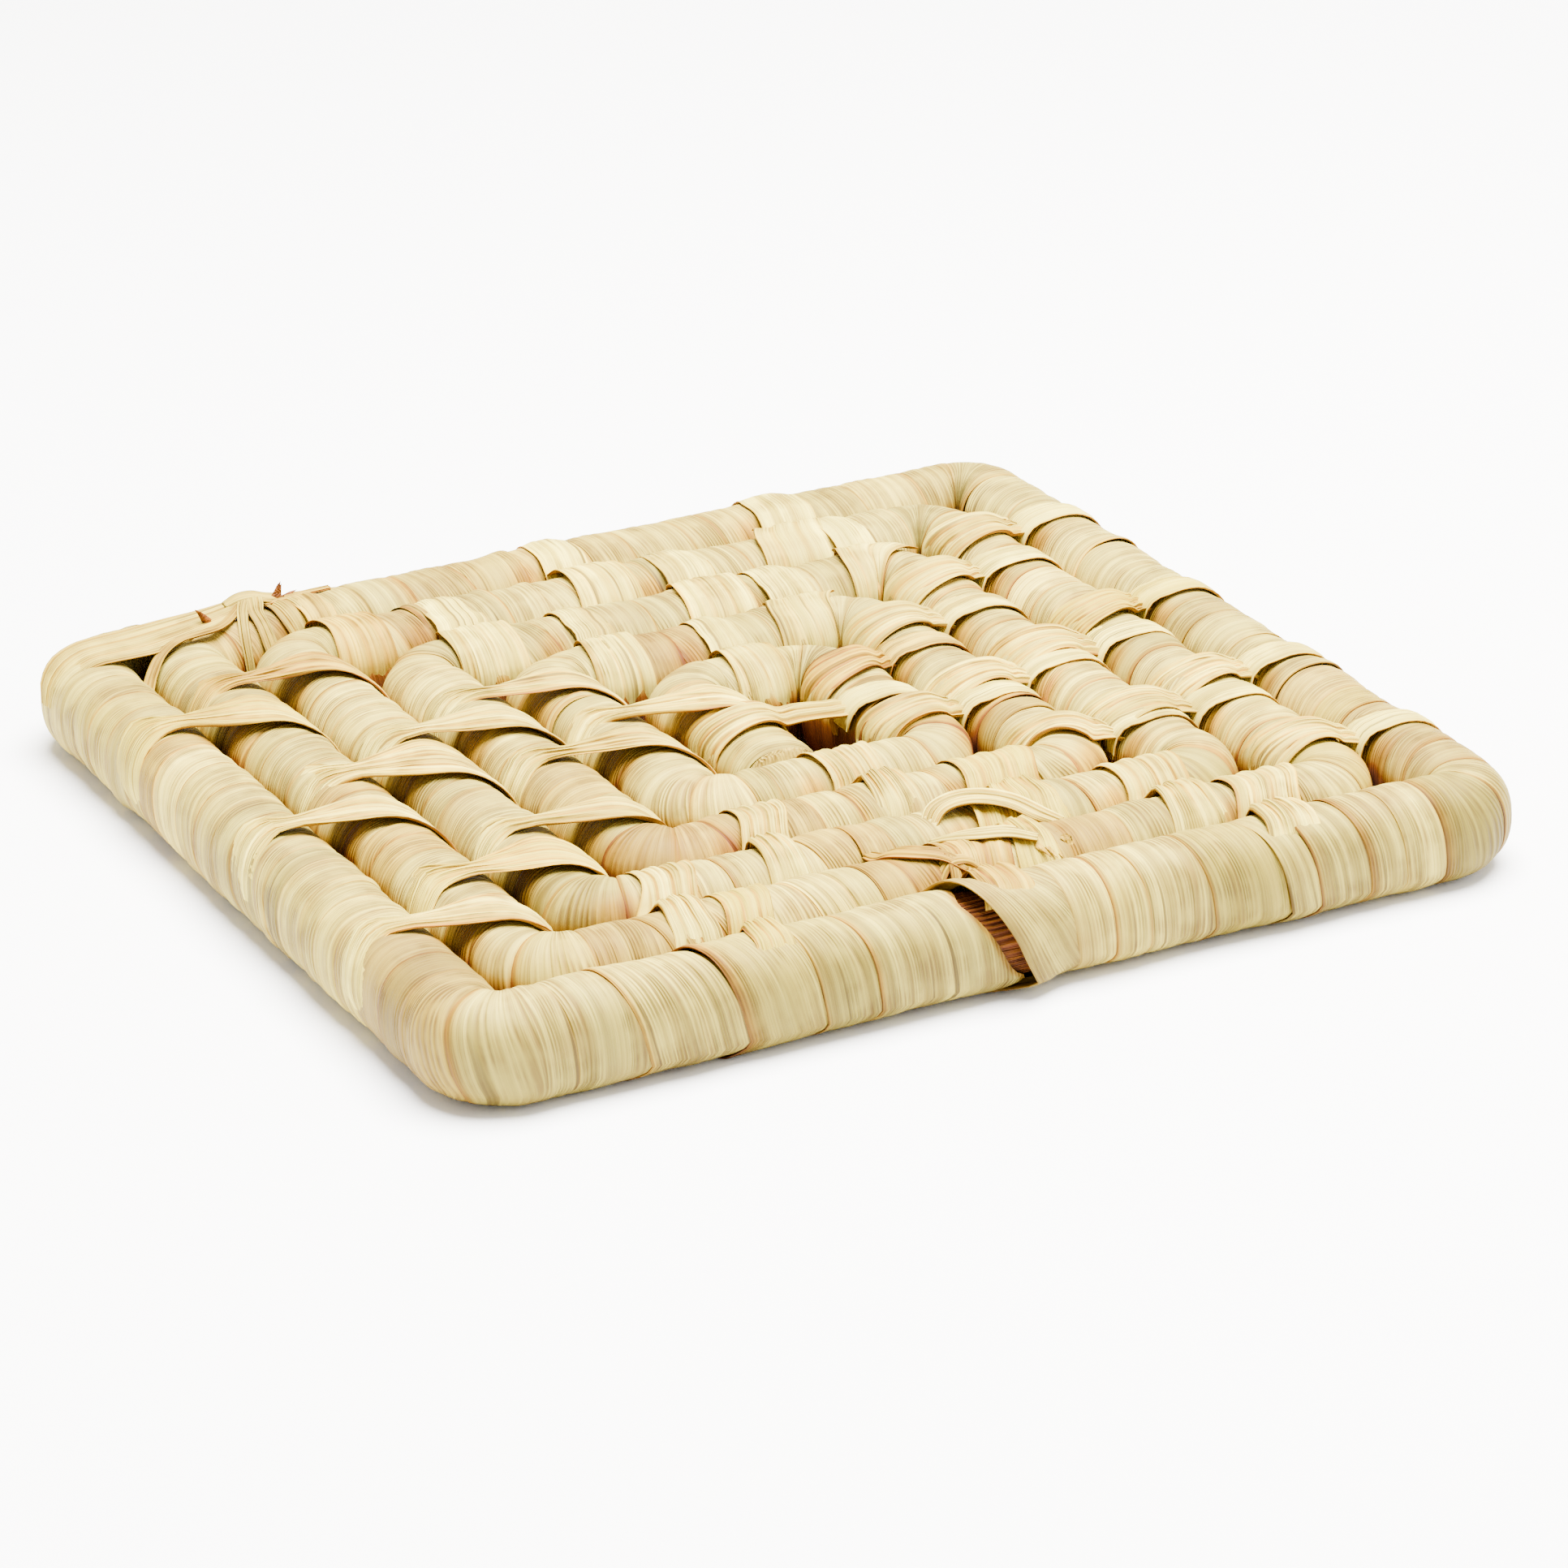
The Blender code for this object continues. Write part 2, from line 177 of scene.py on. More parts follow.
def on_cord(along, angle, lift=0.0):
    """Points a given height off the cord's surface, and the surface's normals there."""
    along, angle, lift = np.broadcast_arrays(along, angle, lift)
    s = np.clip(along, 0, LENGTH)
    x, y, turned, left, right = (np.interp(s, TABLE[:, 0], TABLE[:, i]) for i in range(1, 6))
    share = np.clip(s / OUTER_END_TAPER, 0, 1)
    half = np.where(angle > 0, left, right)
    end_half = OUTER_END_HALF + (OUTER_END_FULL_HALF - OUTER_END_HALF) * share
    half = np.where(s < OUTER_END_TAPER, np.minimum(half, end_half), half)
    height = OUTER_END_HEIGHT + (CORD_HEIGHT - OUTER_END_HEIGHT) * np.minimum(1, OUTER_END_RISE * share)
    sin, cos = np.sin(np.radians(angle)), np.cos(np.radians(angle))
    power = 2 / SECTION_POWER
    side = half * np.sign(sin) * np.abs(sin) ** power
    up = height / 2 * (1 + np.sign(cos) * np.abs(cos) ** power)
    ns = np.sign(sin) * np.abs(sin) ** (2 - power) / half
    nz = np.sign(cos) * np.abs(cos) ** (2 - power) / (height / 2)
    size = np.hypot(ns, nz)
    ns, nz = ns / size, nz / size
    ax, ay = -np.sin(turned), np.cos(turned)
    side = side + ns * lift
    points = np.stack([x + ax * side, y + ay * side, np.maximum(LOWEST, up + nz * lift)], -1)
    return points, np.stack([ax * ns, ay * ns, nz], -1)


def place(run, value):
    """Distance along the cord of an x or y value on a run."""
    way, start = RUNS[run]["way"], RUNS[run]["start"]
    axis = 0 if abs(way[0]) > abs(way[1]) else 1
    return RUNS[run]["from"] + (value - start[axis]) / way[axis]


def smooth(low, high, value):
    """0 at low, 1 at high and an even curve between them; low may be the larger one."""
    t = np.clip((value - low) / (high - low), 0, 1)
    return t * t * (3 - 2 * t)


class Waves:
    """Smooth noise of one or two numbers, about -1 to 1: a sum of sine waves with random headings."""

    def __init__(self, count):
        r = random.Random(dice.random())
        self.waves = [(r.uniform(-1, 1), r.uniform(-1, 1), r.uniform(0, 6.28), r.uniform(0.6, 1))
                      for _ in range(count)]

    def __call__(self, a, b=0.0):
        total = 0.0
        for u, v, phase, size in self.waves:
            total = total + size * np.sin(6.28 * (u * a + v * b) + phase)
        return total / (0.6 * len(self.waves))


class Bag:
    """Grids of points gathered into one mesh, with a fibre place and a tone for each point."""

    def __init__(self):
        self.points, self.quads, self.fibre, self.tone = [], [], [], []
        self.count = 0

    def grid(self, points, fibre, tone, closed=False):
        m, n = points.shape[:2]
        index = self.count + np.arange(m * n).reshape(m, n)
        if closed:
            index = np.concatenate([index, index[:, :1]], 1)
        quads = np.stack([index[:-1, :-1], index[1:, :-1], index[1:, 1:], index[:-1, 1:]], -1)
        self.quads.append(quads.reshape(-1, 4))
        self.points.append(points.reshape(-1, 3))
        self.fibre.append(np.broadcast_to(fibre, (m, n, 3)).reshape(-1, 3))
        self.tone.append(np.broadcast_to(tone, (m, n, 4)).reshape(-1, 4))
        self.count += m * n

    def build(self, name, material):
        points = np.concatenate(self.points) * MM
        quads = np.concatenate(self.quads)
        mesh = bpy.data.meshes.new(name)
        mesh.vertices.add(len(points))
        mesh.vertices.foreach_set("co", points.ravel().astype(np.float32))
        mesh.loops.add(quads.size)
        mesh.loops.foreach_set("vertex_index", quads.ravel().astype(np.int32))
        mesh.polygons.add(len(quads))
        mesh.polygons.foreach_set("loop_start", np.arange(0, quads.size, 4, dtype=np.int32))
        mesh.polygons.foreach_set("use_smooth", np.ones(len(quads), bool))
        mesh.update(calc_edges=True)
        fibre = mesh.attributes.new("fibre", "FLOAT_VECTOR", "POINT")
        fibre.data.foreach_set("vector", np.concatenate(self.fibre).ravel().astype(np.float32))
        tone = mesh.attributes.new("tone", "FLOAT_COLOR", "POINT")
        tone.data.foreach_set("color", np.concatenate(self.tone).ravel().astype(np.float32))
        mesh.validate()
        mesh.materials.append(material)
        obj = bpy.data.objects.new(name, mesh)
        bpy.context.scene.collection.objects.link(obj)
        return obj


class Nodes:
    """Shorthand for a material's node tree."""

    def __init__(self, name):
        self.material = bpy.data.materials.new(name)
        self.material.use_nodes = True
        self.tree = self.material.node_tree
        self.shader = self.tree.nodes["Principled BSDF"]

    def add(self, kind, values=(), **settings):
        node = self.tree.nodes.new(kind)
        for key, value in settings.items():
            setattr(node, key, value)
        self.fill(node, values)
        return node

    def fill(self, node, values):
        for key, value in dict(values).items():
            if isinstance(value, bpy.types.NodeSocket):
                self.tree.links.new(value, node.inputs[key])
            else:
                node.inputs[key].default_value = value

    def math(self, kind, a, b=0.0):
        return self.add("ShaderNodeMath", {0: a, 1: b}, operation=kind).outputs[0]

    def mix(self, share, a, b, kind="MIX"):
        values = {"Factor": share, 6: a, 7: b}
        return self.add("ShaderNodeMix", values, data_type="RGBA", blend_type=kind).outputs[2]

    def remap(self, value, low, high, to_low=0.0, to_high=1.0):
        values = {"Value": value, "From Min": low, "From Max": high,
                  "To Min": to_low, "To Max": to_high}
        return self.add("ShaderNodeMapRange", values).outputs[0]

    def stripes(self, place, across, along, detail):
        """Noise drawn out along the fibres: cycles per millimetre across and along them."""
        values = {0: place, 1: (across, along, 1.0)}
        scaled = self.add("ShaderNodeVectorMath", values, operation="MULTIPLY").outputs[0]
        return self.noise(scaled, 1.0, detail)

    def noise(self, place, scale, detail):
        values = {"Vector": place, "Scale": scale, "Detail": detail}
        return self.add("ShaderNodeTexNoise", values).outputs["Fac"]

    def part(self, share, amount):
        """This amount of a share."""
        return self.math("MULTIPLY", share, amount)


HUSK_ROUGHNESS = 0.6
HUSK_SPECULAR = 0.12
RIB_TURNS = 8.8
BUMP_DEPTH = 0.0006

# Colours of the husk's streaks and blotches, then of its pink and its yellow stretches and the lines in
# them, then what it turns to as the tone's brown, partly the husk's own and partly painted shade, goes
# from 0 to 3. WARM and TANNED_AND_SHADE are multiplied in
STREAK_TAN = (0.25, 0.158, 0.017, 1)
STREAK_STRAW = (0.29, 0.235, 0.048, 1)
BLOTCH = (0.21, 0.12, 0.018, 1)
PINK, PINK_LINE = (0.195, 0.118, 0.017, 1), (0.09, 0.041, 0.005, 1)
YELLOW, YELLOW_LINE = (0.42, 0.32, 0.010, 1), (0.17, 0.10, 0.005, 1)
WARM = (0.83, 0.61, 0.15, 1)
TANNED_AND_SHADE = (0.44, 0.170, 0.060, 1)
DARK, DARK_LINE = (0.095, 0.0260, 0.0075, 1), (0.055, 0.013, 0.004, 1)
DARKEST = (0.030, 0.0062, 0.0010, 1)


def husk(name, light, mid, tan, deep):
    """Husk of a light and a middle colour, with tan ribs and a few deep brown fibres.

    The mesh's fibre attribute is the place across and along the fibres, in millimetres. Its tone is
    brightness, pink, yellow and, as alpha, brown; the brightness and the brown carry painted shade as
    well as the husk's own colour.
    """
    n = Nodes(name)
    fibre = n.add("ShaderNodeAttribute", attribute_name="fibre").outputs["Vector"]
    tone = n.add("ShaderNodeAttribute", attribute_name="tone")
    split = n.add("ShaderNodeSeparateColor", {"Color": tone.outputs["Color"]})
    bright, pink, yellow = split.outputs
    brown = tone.outputs["Alpha"]
    where = n.add("ShaderNodeNewGeometry").outputs["Position"]
    u = n.add("ShaderNodeSeparateXYZ", {0: fibre}).outputs["X"]
    fine = n.stripes(fibre, 3.0, 0.05, 1.0)
    broad = n.stripes(fibre, 0.55, 0.014, 2.0)
    stretch = n.stripes(fibre, 0.14, 0.010, 2.0)
    wander = n.stripes(fibre, 0.33, 0.022, 1.0)
    rare = n.stripes(fibre, 0.95, 0.018, 1.0)
    blotch = n.noise(where, 70.0, 3.0)
    worn = n.remap(n.noise(where, 160.0, 2.0), 0.38, 0.60, 0.25, 1.0)
    # ribs about 0.7 mm apart, fading in and out, with fine lines between them
    phase = n.math("ADD", n.part(u, RIB_TURNS), n.part(wander, 24.0))
    rib = n.part(n.math("ADD", n.math("SINE", phase), 1.0), 0.5)
    groove = n.math("POWER", n.math("SUBTRACT", 1.0, rib), 1.6)
    ribbed = n.math("MULTIPLY", n.remap(stretch, 0.36, 0.56, 0.25, 1.0), worn)
    rib_line = n.math("MULTIPLY", groove, ribbed)
    off_middle = n.math("ABSOLUTE", n.math("SUBTRACT", fine, 0.5))
    fine_line = n.math("MULTIPLY", n.remap(off_middle, 0.060, 0.010), worn)
    lines = n.math("MAXIMUM", rib_line, n.part(fine_line, 0.5))
    colour = n.mix(n.remap(broad, 0.38, 0.62), light, mid)
    for share, amount, tint in (
            (n.remap(stretch, 0.54, 0.68), 0.50, STREAK_TAN),
            (n.remap(stretch, 0.46, 0.32), 0.45, STREAK_STRAW),
            (fine_line, 0.50, tan), (rib_line, 0.72, tan),
            (n.remap(blotch, 0.55, 0.72), 0.40, BLOTCH), (n.remap(rare, 0.64, 0.72), 0.75, deep),
            (pink, 0.8, n.mix(lines, PINK, PINK_LINE)),
            (yellow, 0.7, n.mix(lines, YELLOW, YELLOW_LINE))):
        colour = n.mix(n.part(share, amount), colour, tint)
    warm, tanned_and_shaded = n.mix(1.0, colour, WARM, "MULTIPLY"), n.mix(1.0, colour, TANNED_AND_SHADE, "MULTIPLY")
    # brown in the tone, partly painted shade, turns the colour warm, tan, dark and darkest
    for low, high, tint in ((0.0, 0.5, warm), (0.5, 1.2, tanned_and_shaded),
                            (1.2, 2.0, n.mix(lines, DARK, DARK_LINE)), (2.0, 3.0, DARKEST)):
        colour = n.mix(n.remap(brown, low, high), colour, tint)
    value = n.remap(bright, 0.0, 1.0, 0.4, 1.6)
    colour = n.add("ShaderNodeHueSaturation", {"Color": colour, "Value": value}).outputs[0]
    height = n.math("ADD", n.part(fine, 0.45), n.part(n.math("MULTIPLY", rib, ribbed), 0.40))
    height = n.math("ADD", height, n.part(broad, 0.8))
    bump = n.add("ShaderNodeBump", {"Height": height, "Strength": 1.0, "Distance": BUMP_DEPTH})
    n.fill(n.shader, {"Base Color": colour, "Roughness": HUSK_ROUGHNESS,
                      "Specular IOR Level": HUSK_SPECULAR, "Normal": bump.outputs[0]})
    return n.material


wrap_husk = husk("wrapped_husk", (0.51, 0.410, 0.072, 1), (0.26, 0.193, 0.027, 1),
                 (0.13, 0.068, 0.009, 1), (0.045, 0.018, 0.003, 1))
tie_husk = husk("tie_husk", (0.72, 0.605, 0.112, 1), (0.41, 0.325, 0.042, 1),
                (0.20, 0.128, 0.013, 1), (0.060, 0.026, 0.004, 1))
end_husk = husk("end_husk", (0.46, 0.370, 0.060, 1), (0.25, 0.185, 0.022, 1),
                (0.13, 0.075, 0.008, 1), (0.040, 0.016, 0.003, 1))

# Ties of each side: outer run, fan's place and neck's place along the side, fan's width, and tone
TIES = {
    "left": ((0, 41.5, 45.5, 15, "yellow"), (0, -10, -8, 14), (0, -60, -56.5, 12),
             (1, 57.5, 58.5, 11, "tan"), (1, 5, 8.5, 17), (1, -43.5, -42, 14, "yellow"),
             (2, 16.5, 19.5, 13), (2, -32, -28.5, 11), (3, 27, 30, 10), (3, -5, -3, 12),
             (4, 5, 8.5, 11)),
    "right": ((0, 57, 58.5, 13), (0, 8, 12, 12, "yellow"), (0, -29, -27, 11.5), (0, -63, -64.5, 11),
              (1, 39.5, 42, 13), (1, -1.5, -3, 12), (1, -36, -38, 13), (2, 23.5, 23.5, 13),
              (2, -9, -9, 10), (2, -36.5, -40.5, 9), (3, 7, 12, 12, "tan"), (3, -18, -16.5, 11),
              (4, -6, -6, 12)),
    "back": ((0, -44.5, -47, 10, "tan"), (0, 4, 3, 12), (0, 43.5, 49, 15), (1, -27.5, -26, 13),
             (1, 18.5, 20, 13), (1, 50.5, 54, 11), (2, -9.5, -7.5, 10), (2, 28, 32, 12.5),
             (3, 10, 11, 10)),
    "front": ((0, -38, -41, 9, "green"), (0, 4, 1, 13, "tan"), (0, 58.5, 54, 13),
              (1, -44.7, -48.5, 10.5), (1, 15.5, 13.7, 10, "yellow"), (1, 44.5, 44, 13),
              (2, -20, -24.5, 9.5), (2, 24, 21.5, 15, "yellow"), (3, 3, 4, 11)),
}
# Brightness, pink, yellow and brown
TONES = {
    "plain": (0.56, 0.0, 0.05, 0.0),
    "yellow": (0.55, 0.0, 0.75, 0.0),
    "tan": (0.49, 0.10, 0.2, 0.30),
    "green": (0.54, 0.0, 0.8, 0.0),
}


def tie_places(side, run, fan, neck):
    """A tie's neck and fan as places along the cord, and which way its two runs go past them."""
    outer = f"{side}_{run}"
    to_inner_end = run == TURNS - 1 and side in ("left", "right")
    inner = f"left_{TURNS}" if to_inner_end else f"{side}_{run + 1}"
    axis = 1 if side in ("left", "right") else 0
    return {"neck": place(outer, neck), "fan": place(inner, fan),
            "to_outer": 1 if to_inner_end and side == "right" else -1,
            "outer_way": RUNS[outer]["way"][axis], "inner_way": RUNS[inner]["way"][axis]}


# Where a tie pinches its runs in: how far from the neck, along its side, and how deep
HOLLOW_SHIFT = {"left": -5.5, "right": -6.0, "back": -8.0, "front": -7.0}
HOLLOW_DEPTH = {"left": 0.45, "right": 0.45, "back": 0.4, "front": 0.4}
FAN_HOLLOW_SHIFT = -1.0
HOLLOW_REACH = 1.8
HOLLOW_RANGE = 26
# Reach of the painted brown shade beside it, and the wider painted shade under the arch of a left tie
SHADE_REACH = 2.8
LEFT_SHADE_SHIFT = -2.5
LEFT_SHADE_REACH = 6.0


def tie_hollows():
    """Where the ties pinch the cord: place along it, hand and depth; place and reach of the painted
    shade.
    """
    found = []
    for side, rows in TIES.items():
        shift, depth = HOLLOW_SHIFT[side], HOLLOW_DEPTH[side]
        for run, fan, neck, *_ in rows:
            at = tie_places(side, run, fan, neck)
            neck_at = at["neck"] + shift * at["outer_way"]
            fan_at = at["fan"] + (shift + FAN_HOLLOW_SHIFT) * at["inner_way"]
            shade = (fan_at, SHADE_REACH)
            if side == "left":
                shade = (at["fan"] + LEFT_SHADE_SHIFT * at["inner_way"], LEFT_SHADE_REACH)
            found.append((neck_at, 1, depth, neck_at, SHADE_REACH))
            found.append((fan_at, at["to_outer"], depth, *shade))
    return found


# Section angles of the points round each wrap, close together on its sides and top
COLUMNS = np.concatenate([np.linspace(-180, -125, 6)[:-1], np.linspace(-125, 125, 37),
                          np.linspace(125, 180, 6)[1:]])
TOP_COLUMN = 23
BASE_LIFT = -0.30
CAP_BULGE = 1.6
# Painted shade in the valleys between runs, as brown in the tone on the sides that face a neighbouring
# run
VALLEY_PAINTED_SHADE = 1.7

# A lip higher than OPEN_LIP stands open. UNDER is the strip's turned-in edge, as rows of reach
# along the cord and depth under the lip, and UNDER_ACROSS how far from the edge their fibres are
OPEN_LIP = 1
OPEN_SETTLE = 5.0
UNDER = ((2.2, 0.34), (0.9, 0.30), (0.05, 0.26), (-0.04, 0.10))
UNDER_OPEN = ((4.0, 1.35), (1.8, 0.55), (0.05, 0.30), (-0.04, 0.12))
UNDER_ACROSS = (1.2, 0.6, 0.1, 0.0)

# Heights that a lip can have and lengths that a wrap can have, on the outer turn and inside it
OUTER_LIPS = (0.04, 0.08, 0.14, 0.25, 0.40, 0.55)
INNER_LIPS = (0.05, 0.10, 0.18, 0.30, 0.45, 0.7)
FLAT_LIPS = (0.02, 0.05, 0.08, 0.12, 0.28, 0.60)
LEFT_LENGTHS = (5.5, 11.5)
OUTER_LENGTHS = (6.0, 14.0)
INNER_LENGTHS = (5.0, 11.0)
# Seams: least distance of two, how far round they are slanted, most slant there, and wobble
SEAM_GAP = 2.2
SLANT_END = 130
SLANT_MOST = 1.444
SEAM_WOBBLE = 0.35
# Spacing and number of a wrap's rows; and its fibres: how far on the next wrap's start, their
# millimetres for each degree round the cord, and how many patterns they have
ROW_SPACING = 0.5
ROW_LIMITS = (6, 48)
FIBRE_STEP = 37.7
HUSK_PER_DEGREE = 0.145
FIBRE_PATTERNS = 17

# Lips on the front outer run: x where each crosses the crest, its slant and its height
FRONT_LIPS = (
    (-80.0, 1.5, 0.15), (-70.6, 4.0, 0.35), (-53.6, 4.4, 0.85), (-38.0, 3.0, 0.15), (-28.5, 3.2, 0.20),
    (-8.0, 8.0, 2.3), (9.0, 2.0, 0.10), (16.6, 1.5, 0.14), (22.8, 1.6, 0.14), (34.0, 2.2, 0.12),
    (46.0, 4.2, 0.45), (52.5, 3.6, 0.40), (63.0, 2.6, 0.18), (71.0, 2.0, 0.22), (79.0, 1.2, 0.18),
)

# Tinted stretches: run, from, to, pink, yellow, brown
TINTS = (
    ("left_0", -84, -61, 0.75, 0, 0.1), ("left_0", -20, -10, 0.3, 0, 0),
    ("left_1", -31, -20, 0.42, 0.3, 0.2), ("left_1", -4, 8, 0.34, 0.2, 0.2),
    ("left_0", 33, 41, 0.34, 0.1, 0.2), ("step", -70, -60, 0.38, 0, 0.2),
    ("step", -60, -54, 0.6, 0, 0.1),
    ("front_3", -38, -27, 0.64, 0, 0.2), ("front_3", -27, -12, 0.4, 0, 0.2),
    ("front_1", -62, -50, 0.4, 0, 0.2), ("front_2", -16, -4, 0.38, 0.1, 0.2),
    ("back_3", -6, 8, 0.75, 0, 0.2), ("back_1", -40, -29, 0.75, 0, 0.1),
    ("right_0", -84, -38, 0.55, 0, 0.05), ("right_3", -30, -10, 0.1, 0, 0.2),
    ("front_0", 2, 40, 0.15, 0, 0), ("front_1", 15, 25, 0.6, 0, 0.2),
    ("front_1", -17, -5, 0.55, 0, 0.2), ("left_3", -22, -8, 0.5, 0, 0.1),
    ("right_4", -22, -5, 0.51, 0, 0.2), ("right_1", -62, -45, 0, 0.1, 0),
    ("back_0", -30, 20, 0.25, 0.05, 0.1), ("back_0", 20, 84, 0.1, 0.1, 0.05),
)


def run_at(s):
    """Name of the run that a place along the cord lies on, or of the run before it in a bend."""
    found = "end"
    for name, run in RUNS.items():
        if run["from"] <= s:
            found = name
    return found


def seams():
    """Where each wrap's lip crosses the crest, with its slant and lip height."""
    found = []
    front = RUNS["front_0"]
    start = front["from"] - 4
    s = 0.0
    while s < LENGTH - 3:
        if start <= s <= front["to"]:
            found += [(place("front_0", x), slant, lip) for x, slant, lip in FRONT_LIPS]
            s = front["to"] + dice.uniform(2, 6)
            continue
        run = run_at(s)
        in_bend = any(a - 2 < s < b + 2 and r < STEP_START_RADIUS for a, b, r in BENDS)
        slant = dice.uniform(0.2, 1.2) if in_bend else dice.uniform(0.4, 4.2)
        outer = run in ("left_0", "right_0", "back_0")
        lip = dice.choice(OUTER_LIPS if outer else INNER_LIPS)
        if run.startswith(("right", "front")):
            lip = dice.choice(FLAT_LIPS)
        found.append((s, slant if s > 0 else 0.0, lip))
        lengths = OUTER_LENGTHS if outer else INNER_LENGTHS
        s += dice.uniform(*(LEFT_LENGTHS if run == "left_0" else lengths))
        if found[-1][0] < start <= s - 3:
            s = front["from"] - 2
    return found


def seam_curves(found):
    """Each seam's place along the cord at every column: slanted on top, and straight again below."""
    away = np.abs(COLUMNS)
    back = (180 - away) / (180 - SLANT_END) * SLANT_MOST
    shape = np.where(away <= SLANT_END, COLUMNS / 90, np.sign(COLUMNS) * back)
    curves = []
    for s, slant, _ in found:
        wobble = Waves(3)
        curve = s - slant * shape
        curve = curve + SEAM_WOBBLE * wobble(COLUMNS / 170.0) * (s > 0) * smooth(180, 150, away)
        if curves:
            curve = np.maximum(curve, curves[-1] + SEAM_GAP)
        curves.append(curve)
    curves.append(np.full(len(COLUMNS), LENGTH))
    return curves


def tint_at(s):
    """Pink, yellow and brown of the husk at a place along the cord."""
    total = np.zeros(3)
    for run, a, b, *tint in TINTS:
        low, high = sorted((place(run, a), place(run, b)))
        total = np.maximum(total, np.array(tint) * float(low - 1 < s < high + 1))
    return total


def wrap_lift(lip, d, along, width, swell, first_turn, final):
    """Heights of a wrap's points off the cord: its lip, its swell and its small waves."""
    ripple, fold, edge = Waves(4), Waves(4), Waves(4)
    settle = dice.uniform(1.2, 3.0)
    if lip > OPEN_LIP:
        lips = lip * (0.12 + 0.88 * smooth(45, -15, COLUMNS) * smooth(-160, -115, COLUMNS))
        settle = OPEN_SETTLE
    else:
        lips = lip * np.clip(0.7 + 0.8 * edge(COLUMNS / 150.0), 0.05, 1.5)
    full = dice.uniform(0.10, 0.40 if first_turn else 0.65)
    lift = BASE_LIFT + lips * np.exp(-(d / settle) ** 2)
    lift = lift + full * np.sin(np.pi * np.clip(d / width, 0, 1)) ** 0.7
    lift = lift - 0.30 * smooth(1.4, 0.2, width - d) * (not final)
    lift = lift + 0.075 * ripple(d / 1.9, COLUMNS / 420.0)
    lift = lift + 0.11 * fold(d / 6.0, COLUMNS / 120.0)
    return lift + 0.30 * swell(along / 24.0, COLUMNS / 160.0)


def pinch(s, along, hollows):
    """Depth of the hollows beside the ties at each point of a wrap, and how much painted shade goes
    there.
    """
    hollow, shade = np.zeros(along.shape), np.zeros(along.shape)
    for at, hand, depth, shade_at, shade_reach in hollows:
        if abs(at - s) < HOLLOW_RANGE:
            near = np.exp(-((along - at) / HOLLOW_REACH) ** 2)
            hollow = hollow + depth * near * smooth(42, 86, hand * COLUMNS)
            wide = np.exp(-((along - shade_at) / shade_reach) ** 2)
            shade = np.maximum(shade, wide * smooth(8, 50, hand * COLUMNS))
    return hollow, shade


def wrap_tone(s, lip, width, across, crest_streak, hollow, shade, streak, first_turn, final):
    """Brightness, pink, yellow and brown of a wrap's points, the rows of its turned-in edge first."""
    edge_rows = len(UNDER)
    pink, yellow, brown = tint_at(s + width.mean() / 2)
    tone = np.zeros(across.shape + (4,))
    tone[..., 0] = 0.5 + dice.gauss(0, 0.13)
    tone[..., 1] = np.clip(pink + max(0, dice.gauss(-0.10, 0.13)), 0, 1)
    tone[..., 2] = np.clip(yellow + max(0, dice.gauss(-0.02, 0.20)), 0, 1)
    tone[edge_rows:, :, 0] += 0.07 * crest_streak[:, None]
    front = RUNS["front_0"]
    if front["from"] - 12 < s < front["to"] + 6:
        # the front face gets painted shade, more so towards the left, and pink patches
        face = smooth(0, 70, -COLUMNS)
        left = 1 - (s - front["from"]) / (front["to"] - front["from"])
        tone[..., 0] -= (0.23 + 0.20 * left) * face
        tone[..., 1] += 0.30 * np.clip(streak(s / 31.0), 0, 1) * face
    valley = smooth(58, 92, COLUMNS) + (not first_turn) * smooth(58, 92, -COLUMNS)
    edge_brown = dice.choice((0.2, 0.4, 0.7, 1.0))
    fade = 1.4 if OPEN_LIP > lip > 0.8 else dice.choice((0.3, 0.4, 0.6, 1.3))
    # painted shadow on the wrap's last 1.5 mm, where the following wrap's lip overlies it
    end_painted_shadow = 0.75 * smooth(1.5, 0.2, width - across) * (not final)
    tone[..., 3] = brown + edge_brown * np.exp(-across / fade) + end_painted_shadow
    # painted shade in the valleys between runs
    tone[..., 3] += VALLEY_PAINTED_SHADE * valley
    # painted shade beside the ties and under the arches of the left ones, and in the hollows they pinch
    # in
    tone[edge_rows:, :, 3] += 0.68 * shade + 1.6 * hollow * smooth(48, 80, np.abs(COLUMNS))
    tone[:edge_rows, :, 3] += 0.5
    return tone


def lay_wrap(bag, number, seam, following, first, last, swell, streak, hollows):
    """A husk strip round the cord, from its seam to just under the following one, if there is one."""
    s, _, lip = seam
    final = following is None
    first_turn = s < RUNS["step"]["from"]
    overlap = 0.0 if final else 1.0
    if not final and following[2] > OPEN_LIP:
        overlap = 1.0 - 3.5 * smooth(12, -30, COLUMNS) * smooth(-150, -112, COLUMNS)
    width = last - first + overlap
    count = int(np.clip(round(width.mean() / ROW_SPACING), *ROW_LIMITS))
    d = np.linspace(0, 1, count)[:, None] * width
    along = first + d
    hollow, shade = pinch(s, along, hollows)
    lift = wrap_lift(lip, d, along, width, swell, first_turn, final) - hollow
    body = on_cord(along, COLUMNS, lift)[0]
    edge = [on_cord(first + reach, COLUMNS, lift[0] - drop)[0]
            for reach, drop in (UNDER_OPEN if lip > OPEN_LIP else UNDER)]
    points = np.concatenate([edge, body])
    turned_in = np.tile(np.array(UNDER_ACROSS)[:, None], (1, len(COLUMNS)))
    across = np.concatenate([turned_in, np.maximum(0, d)])
    round_cord = np.broadcast_to(COLUMNS * HUSK_PER_DEGREE, across.shape)
    pattern = np.full(across.shape, number % FIBRE_PATTERNS)
    fibre = np.stack([across + FIBRE_STEP * number, round_cord, pattern], -1)
    crest_streak = streak(along[:, TOP_COLUMN] / 5.0)
    bag.grid(points, fibre, wrap_tone(s, lip, width, across, crest_streak, hollow, shade, streak,
                                      first_turn, final))


